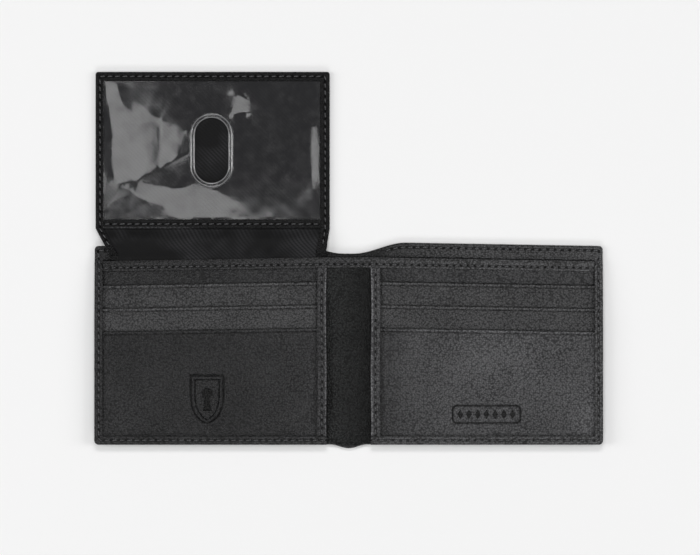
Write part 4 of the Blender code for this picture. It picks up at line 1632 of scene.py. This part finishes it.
@dataclass
class Wing:
    """The flip-up wing: leather back, lining, clear window with its thumb hole, and their edges."""

    looks: Finishes
    left: float = -113.0
    right: float = -8.5
    foot: float = 51.7
    top: float = 121.6
    hinge_y: float = 39.6
    hinge_left: float = -106.3
    hinge_right: float = -10.3
    tab_y: float = 36.0
    hem_start: float = 37.6
    step_y: float = 46.05
    borders: tuple[float, float, float] = (3.4, 4.1, 4.3)
    corner: float = 1.2
    back_inset: float = 2.55
    film_inset: float = 0.65
    mouth: float = 4.0
    sheet: float = 0.5
    lining_rise: float = 0.7
    film_under: float = 1.15
    film: float = 0.25
    over: float = 2.05
    hole: tuple[float, float, float, float] = (-61.2, 86.6, 14.7, 28.8)
    hinge: tuple[float, float] = (-58.3, 4.025)
    fold: tuple[float, float] = (38.3, 43.0)
    relaxing: int = 4000

    def west(self, y: Array) -> Array:
        """The wing's left edge: upright along the board, and slanted down to the hinge."""
        return np.interp(y, (self.hinge_y, self.foot), (self.hinge_left, self.left))

    def east(self, y: Array) -> Array:
        """The wing's right edge."""
        return np.interp(y, (self.hinge_y, self.foot), (self.hinge_right, self.right))

    def under(self, y: Array) -> Array:
        """Height of the underside: it climbs from the table over the shell's top hem to the band."""
        return eased(y, (self.tab_y, self.hinge_y, self.step_y, self.foot), (2.52, 2.55, 2.32, 0.0))

    def hem_over(self, y: Array) -> Array:
        """Height of the turned edge, which thins out where it goes under the band.

        Args:
            y: places along Y.

        Returns:
            The heights.
        """
        thick = 0.55 + (self.over - 0.55) * smooth((y - 38.3) / 4.2)
        rise = eased(y, (self.step_y, self.foot), (1.5, self.over))
        return self.under(y) + np.minimum(thick, rise)

    def upright(self, across: Lines, up: Array, inset_left: Edge, inset_right: Edge) -> Patch:
        """A patch whose rows are level and whose sides follow the wing's edges, inset as functions of y.

        Args:
            across: lines from left to right.
            up: the rows' heights.
            inset_left: distance from the left edge.
            inset_right: distance from the right edge.

        Returns:
            The patch.
        """
        y = np.repeat(up[None, :], len(across.share), axis=0)
        low, high = self.west(y) + inset_left(y), self.east(y) - inset_right(y)
        x = low + (high - low) * across.share[:, None] + across.offset[:, None]
        rim = np.minimum.reduce([x - low, high - x, y - up[0], up[-1] - y])
        return Patch(x, y, np.maximum(rim, 0.0))

    def hem(self) -> Hem:
        """Stations round the wing, from its right end at the band to its left end.

        Returns:
            The hem.
        """
        west, north, east = self.borders
        r, start, inner_y = self.corner, self.hem_start, self.top - self.borders[1]
        upper = np.arange(52.4, self.top - r, STATION)
        y = np.concatenate([np.linspace(start, 52.0, 40), upper, [self.top - r]])
        in_y = start + squeezed(y - start, y[-1] - start, 0.0, north - r)
        length = self.right - self.left - 2 * r
        run = paces(length)
        outer = np.concatenate([
            paired(self.east(y), y),
            arc((self.right - r, self.top - r), r, 0, 90, WING_TURN),
            paired(self.right - r - run, self.top),
            arc((self.left + r, self.top - r), r, 90, 180, WING_TURN),
            paired(self.west(y), y)[::-1],
        ])
        inner = np.concatenate([
            paired(self.east(in_y) - east, in_y),
            np.tile([self.right - east, inner_y], (WING_TURN, 1)),
            paired(self.right - r - squeezed(run, length, east - r, west - r), inner_y),
            np.tile([self.left + west, inner_y], (WING_TURN, 1)),
            paired(self.west(in_y) + west, in_y)[::-1],
        ])
        height = outer[:, 1]
        return Hem(
            outer, inner, self.under(height), self.hem_over(height), smooth((height - 43.6) / 1.0),
            inset=2.0, tail=2.6, sheet=self.sheet,
        )

    def back(self) -> None:
        """Leather back with its turned edges, and its stitches on both faces."""
        inset = self.back_inset
        up = self.tab_y + graded(self.top - inset - self.tab_y, 1.0, [(0.0, 18.0, 0.35)])
        patch = self.upright(Lines.even(90, RIM), up, level(inset), level(inset))
        wave = 0.05 * (1 + ripple(patch.x, patch.y, 41.0, 2.2)) * smooth(patch.rim / 5.0)
        under = self.under(patch.y)
        hem = self.hem()
        made = merged([
            patch.solid("wing_back_leather", under + wave, under + self.sheet, 0.05),
            hem.build("wing_edge"),
        ])
        finish_piece(made, self.looks.wing, "shell_leather", "wing_back", "wing_hinge_tab")
        self.bend(made)
        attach(stitched("wing_border", hem.stitches(), self.looks, "wing_border_thread"), "wing")

    def bend(self, piece: bpy.types.Object) -> None:
        """Bakes a piece's transform into its mesh.

        Args:
            piece: the piece.
        """
        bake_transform(piece)

    def lining(self) -> None:
        """Twill lining behind the window, which also shows on the strip below it."""
        west, _, east = self.borders
        up = self.tab_y + 0.3 + graded(self.top - 0.7 - self.tab_y, 1.2, [(0.0, 18.0, 0.4)])
        patch = self.upright(
            Lines.even(80, RIM), up,
            lambda y: 0.65 + (west - 0.5) * smooth((45.5 - y) / 3.0),
            lambda y: 0.65 + (east - 0.5) * smooth((45.5 - y) / 3.0),
        )
        full = smooth((patch.y - 38.5) / 3.0)
        rise = 0.54 + (self.lining_rise - 0.54) * full
        puff = smooth((patch.y - 39.5) / 4.0) * smooth((self.foot - patch.y) / 5.0)
        wave = 0.22 * (1 + ripple(patch.x, patch.y, 24.0, 3.1)) * puff * smooth((patch.rim - 0.5) / 6.0)
        under = self.under(patch.y) + rise + wave
        heights = (under, under + 0.06 + 0.09 * full)
        self.bend(lining_sheet("wing_lining", patch, heights, self.looks, ["wing_back"], "wing_lining"))

    def sag(self, x: Array, y: Array) -> Array:
        """Height of the film over its level: slack that stands up in low bulges.

        In each slack patch the film wants to slope one way. The height on a 1 mm grid is relaxed until
        its Laplacian is the divergence of the wanted slopes, with zero height where the film is held.

        Args:
            x: places along X.
            y: places along Y.

        Returns:
            The heights.
        """
        west, north, east = self.borders
        grid_x = np.arange(self.left + west, self.right - east + 0.5, 1.0)
        grid_y = np.arange(self.foot + self.mouth, self.top - north + 0.5, 1.0)
        gx, gy = np.meshgrid(grid_x, grid_y, indexing="ij")
        wobble_x = gx + 0.9 * ripple(gx, gy, 9.0, 0.4)
        wobble_y = gy + 0.9 * ripple(gx, gy, 7.0, 1.9)
        slope_x, slope_y = np.zeros_like(gx), np.zeros_like(gx)
        for patch in SLACK:
            inside = patch.holds(wobble_x, wobble_y)
            slope_x += inside * patch.slope[0]
            slope_y += inside * patch.slope[1]
        source = np.gradient(slope_x, axis=0) + np.gradient(slope_y, axis=1)
        free = np.ones_like(gx)
        free[0], free[-1], free[:, 0], free[:, -1] = 0, 0, 0, 0
        height = np.zeros_like(gx)
        for _ in range(self.relaxing):
            around = sum(np.roll(height, shift, axis) for axis in (0, 1) for shift in (1, -1))
            height = free * (around - source) / 4
        fine = free * (0.02 * ripple(gx, gy, 21.0, 0.9) + 0.008 * ripple(gx, gy, 9.0, 2.9))
        log.info("film: %.2f to %.2f mm over its level", height.min(), height.max())
        height = np.clip(height + fine, -0.22, 1.25)
        fx = np.clip(x - grid_x[0], 0, len(grid_x) - 1.001)
        fy = np.clip(y - grid_y[0], 0, len(grid_y) - 1.001)
        i, j = fx.astype(int), fy.astype(int)
        u, v = (smooth(part) * 0.5 + part * 0.5 for part in (fx - i, fy - j))
        low = height[i, j] * (1 - u) + height[i + 1, j] * u
        high = height[i, j + 1] * (1 - u) + height[i + 1, j + 1] * u
        return low * (1 - v) + high * v

    def rays(self) -> tuple[Array, Array, Array]:
        """Rays from the thumb hole's outline to the film's edges.

        The hole is an upright slot with round ends. Its points are spread along it by a hyperbolic
        tangent of the ray's rise, and then moved onto its outline.

        Returns:
            (n, 2) points of the hole's outline, the outward directions there, and points of the edges.
        """
        low = np.array([self.left + self.film_inset, self.foot + 0.3])
        high = np.array([self.right - self.film_inset, self.top - self.film_inset])
        hole_x, hole_y, wide, tall = self.hole
        centre = np.array([hole_x, hole_y])
        (left, down), (right, up) = low - centre, high - centre
        angle = np.linspace(0, 2 * math.pi, RAYS + 1)[:-1]
        corner = np.arctan2([up, up, down, down], [right, left, left, right]) % (2 * math.pi)
        nearest = np.abs(angle[:, None] - corner[None, :]).argmin(axis=0)
        angle[nearest] = corner
        heading = paired(np.cos(angle), np.sin(angle))
        wall = np.where(heading > 0, high - centre, low - centre)
        reach = np.where(heading != 0, wall / np.where(heading != 0, heading, 1), np.inf)
        edge = centre + heading * reach.min(axis=1)[:, None]
        straight = (tall - wide) / 2
        spoke = unit(heading * [1.0, wide / tall])
        slot = centre + spoke * wide / 2 + paired(0.0, straight * np.tanh(3.2 * heading[:, 1]))
        axis = slot_axis(slot, centre, straight)
        slot = axis + (slot - axis) * (wide / 2) / np.linalg.norm(slot - axis, axis=1)[:, None]
        return slot, unit(slot - slot_axis(slot, centre, straight)), edge

    def window(self) -> None:
        """Clear film: rings from the thumb hole out to the film's edges, with a welded double rim.

        Near the hole the rings keep their distance from it, and two bell-shaped beads make the rim.
        """
        slot, normal, edge = self.rays()
        share = np.linspace(0, 1, 60)[1:-1]
        start = slot + normal * NEAR_HOLE[-1]
        rings = [slot + normal * d for d in NEAR_HOLE] + [start + (edge - start) * s for s in share]
        rings += [edge - (edge - start) * 0.002, edge]
        x, y = np.moveaxis(np.stack(rings), -1, 0)
        away = np.append(NEAR_HOLE, np.full(len(rings) - len(NEAR_HOLE), 9.0))
        bead = 0.26 * (valley(away - 0.42, 0.22) + valley(away - 1.75, 0.22))
        # the weld rim's frosting, which is also a painted glint
        frost = np.clip(valley(away - 0.4, 0.2) + valley(away - 1.75, 0.18), 0.0, 1.0)
        drop = np.where(away == NEAR_HOLE[0], 0.1, np.where(away == NEAR_HOLE[1], 0.03, 0.0))
        lowest = self.film_under + self.sag(x, y)
        over = lowest + self.film + (bead - drop)[:, None]
        under = lowest + drop[:, None]
        points = np.concatenate([np.stack([x, y, over], -1), np.stack([x, y, under], -1)[::-1]])
        rows, columns = points.shape[:2]
        index = np.arange(rows * columns).reshape(rows, columns)
        ahead, beyond = np.roll(index, -1, axis=1), np.roll(index, -1, axis=0)
        quads = np.stack([index, ahead, np.roll(beyond, -1, axis=1), beyond], axis=-1).reshape(-1, 4)
        rim_frost_and_glint = np.repeat(np.append(frost, 0 * frost)[:, None], columns, axis=1)
        made = make_object("identity_window_film", points.reshape(-1, 3), quads, tone=rim_frost_and_glint)
        finish_piece(made, self.looks.film, "clear_film", "identity_window")
        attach(made, "wing")

    def mouth_strip(self) -> None:
        """Leather binding along the window's mouth, and its stitches."""
        west, _, east = self.borders
        low, high = self.left + west + 0.15, self.right - east - 0.15
        columns = paces(high - low)
        fine = [(0.0, 0.5, 0.1), (1.3, 2.7, 0.12), (self.mouth - 0.5, self.mouth, 0.1)]
        rows = graded(self.mouth, 0.3, fine)
        patch = Patch.spanning(
            Lines.at(columns), Lines.at(rows), low, high, level(self.foot), level(self.foot + self.mouth)
        )
        away = patch.y - self.foot - self.mouth / 2
        holes = BORDER_SEAM.holes(columns)[:, None]
        groove = 0.12 * valley(away, 0.5) + 0.28 * holes * valley(away, 0.26)
        over = self.over - groove + 0.06 * valley(np.abs(away) - 1.2, 0.5)
        # painted highlight along the lower edge at the left, painted highlights beside the seam, and painted
        # shade in the seam and its holes
        rubbed = 7.0 * valley(patch.y - self.foot - 0.35, 0.3) * smooth((-62.0 - patch.x) / 20.0)
        shade = rubbed + 0.5 * valley(np.abs(away) - 1.1, 0.4) - (0.3 + 0.7 * holes) * valley(away, 0.5)
        made = patch.solid("window_mouth_leather", np.full_like(over, self.over - 0.5), over, 0.22, shade)
        finish_piece(made, self.looks.wing, "shell_leather", "window_mouth_strip")
        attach(made, "wing")
        lane = paired(low + columns, self.foot + self.mouth / 2)
        rows = BORDER_SEAM.rows(lane, np.full_like(columns, self.over))
        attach(stitched("window_mouth", rows, self.looks, "window_mouth_thread"), "wing")

    def build(self) -> None:
        """Makes every piece of the wing."""
        self.back()
        self.lining()
        self.window()
        self.mouth_strip()


def slot_axis(points: Array, centre: Array, straight: float) -> Array:
    """The nearest places to points on the middle line of an upright slot's straight part."""
    return centre + paired(0.0, np.clip(points[:, 1] - centre[1], -straight, straight))


# ---- Studio ----


@dataclass(frozen=True)
class Lamp:
    """A soft box: where it hangs, where it points, its size in millimetres, and its power in watts."""

    name: str
    place: tuple[float, float, float]
    aim: tuple[float, float, float]
    size: tuple[float, float]
    power: float

    def hang(self) -> None:
        """Makes the area light."""
        light = bpy.data.lights.new(self.name, "AREA")
        light.shape = "RECTANGLE"
        light.size, light.size_y = (s * METRES for s in self.size)
        light.energy = self.power
        made = bpy.data.objects.new(self.name, light)
        bpy.context.scene.collection.objects.link(made)
        made.location = np.array(self.place) * METRES
        way = made.location.copy()
        way -= type(way)(np.array(self.aim) * METRES)
        made.rotation_euler = way.to_track_quat("Z", "Y").to_euler()


@dataclass(frozen=True)
class Studio:
    """White table, soft boxes and the camera straight above."""

    floor_half: float = 1500.0
    floor_z: float = -0.05
    sky: float = 0.1
    camera_x: float = 0.58
    camera_y: float = 29.8
    camera_z: float = 1500.0
    lens: float = 172.6
    lamps: tuple[Lamp, ...] = (
        Lamp("back_key", (0, 850, 1250), (0, 20, 0), (700, 350), 6.5),
        Lamp("left_fill", (-1100, 0, 770), (0, 30, 0), (500, 900), 6.5),
        Lamp("right_fill", (1100, 0, 770), (0, 20, 0), (500, 900), 6.5),
        Lamp("front_fill", (0, -1100, 770), (0, 20, 0), (900, 400), 5.0),
        Lamp("low_left_card", (-385, 270, 1500), (-385, 270, 0), (350, 330), 1.15),
        Lamp("near_card", (-120, -95, 1500), (-120, -95, 0), (400, 270), 1.0),
        Lamp("right_card", (170, 150, 1500), (170, 150, 0), (200, 400), 0.8),
    )

    def build(self) -> None:
        """Makes the floor, the sky, the lamps and the camera."""
        half, z = self.floor_half * METRES, self.floor_z * METRES
        mesh = bpy.data.meshes.new("table_top")
        outline = [(-half, -half, z), (half, -half, z), (half, half, z), (-half, half, z)]
        mesh.from_pydata(outline, [], [(0, 1, 2, 3)])
        floor = bpy.data.objects.new("table_top", mesh)
        bpy.context.scene.collection.objects.link(floor)
        floor.data.materials.append(Backdrop("white_paper", "#f7f7f7").build())
        world = bpy.data.worlds.new("studio_sky")
        world.use_nodes = True
        tree = world.node_tree
        feed(tree, tree.nodes["Background"], Color=(1.0, 1.0, 1.0, 1.0), Strength=self.sky)
        bpy.context.scene.world = world
        for lamp in self.lamps:
            lamp.hang()
        camera = bpy.data.objects.new("camera", bpy.data.cameras.new("camera"))
        bpy.context.scene.collection.objects.link(camera)
        camera.location = (self.camera_x * METRES, self.camera_y * METRES, self.camera_z * METRES)
        camera.data.sensor_width = 36.0
        camera.data.lens = self.lens
        camera.data.clip_start, camera.data.clip_end = 0.05, 20.0
        bpy.context.scene.camera = camera
        bpy.context.scene.view_settings.view_transform = "Standard"


def main() -> None:
    """Loads the frame and builds the wallet piece by piece."""
    logging.basicConfig(level=logging.INFO, format="%(message)s")
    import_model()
    plan, stack, looks = Plan.of_frame(), Stack(), Finishes()
    log.info("plan: %s", plan)
    Studio().build()
    Panel(Side.LEFT, plan, stack, looks, ShieldDevice()).build()
    Panel(Side.RIGHT, plan, stack, looks, CartoucheDevice()).build()
    Wing(looks).build()


if __name__ == "__main__":
    main()
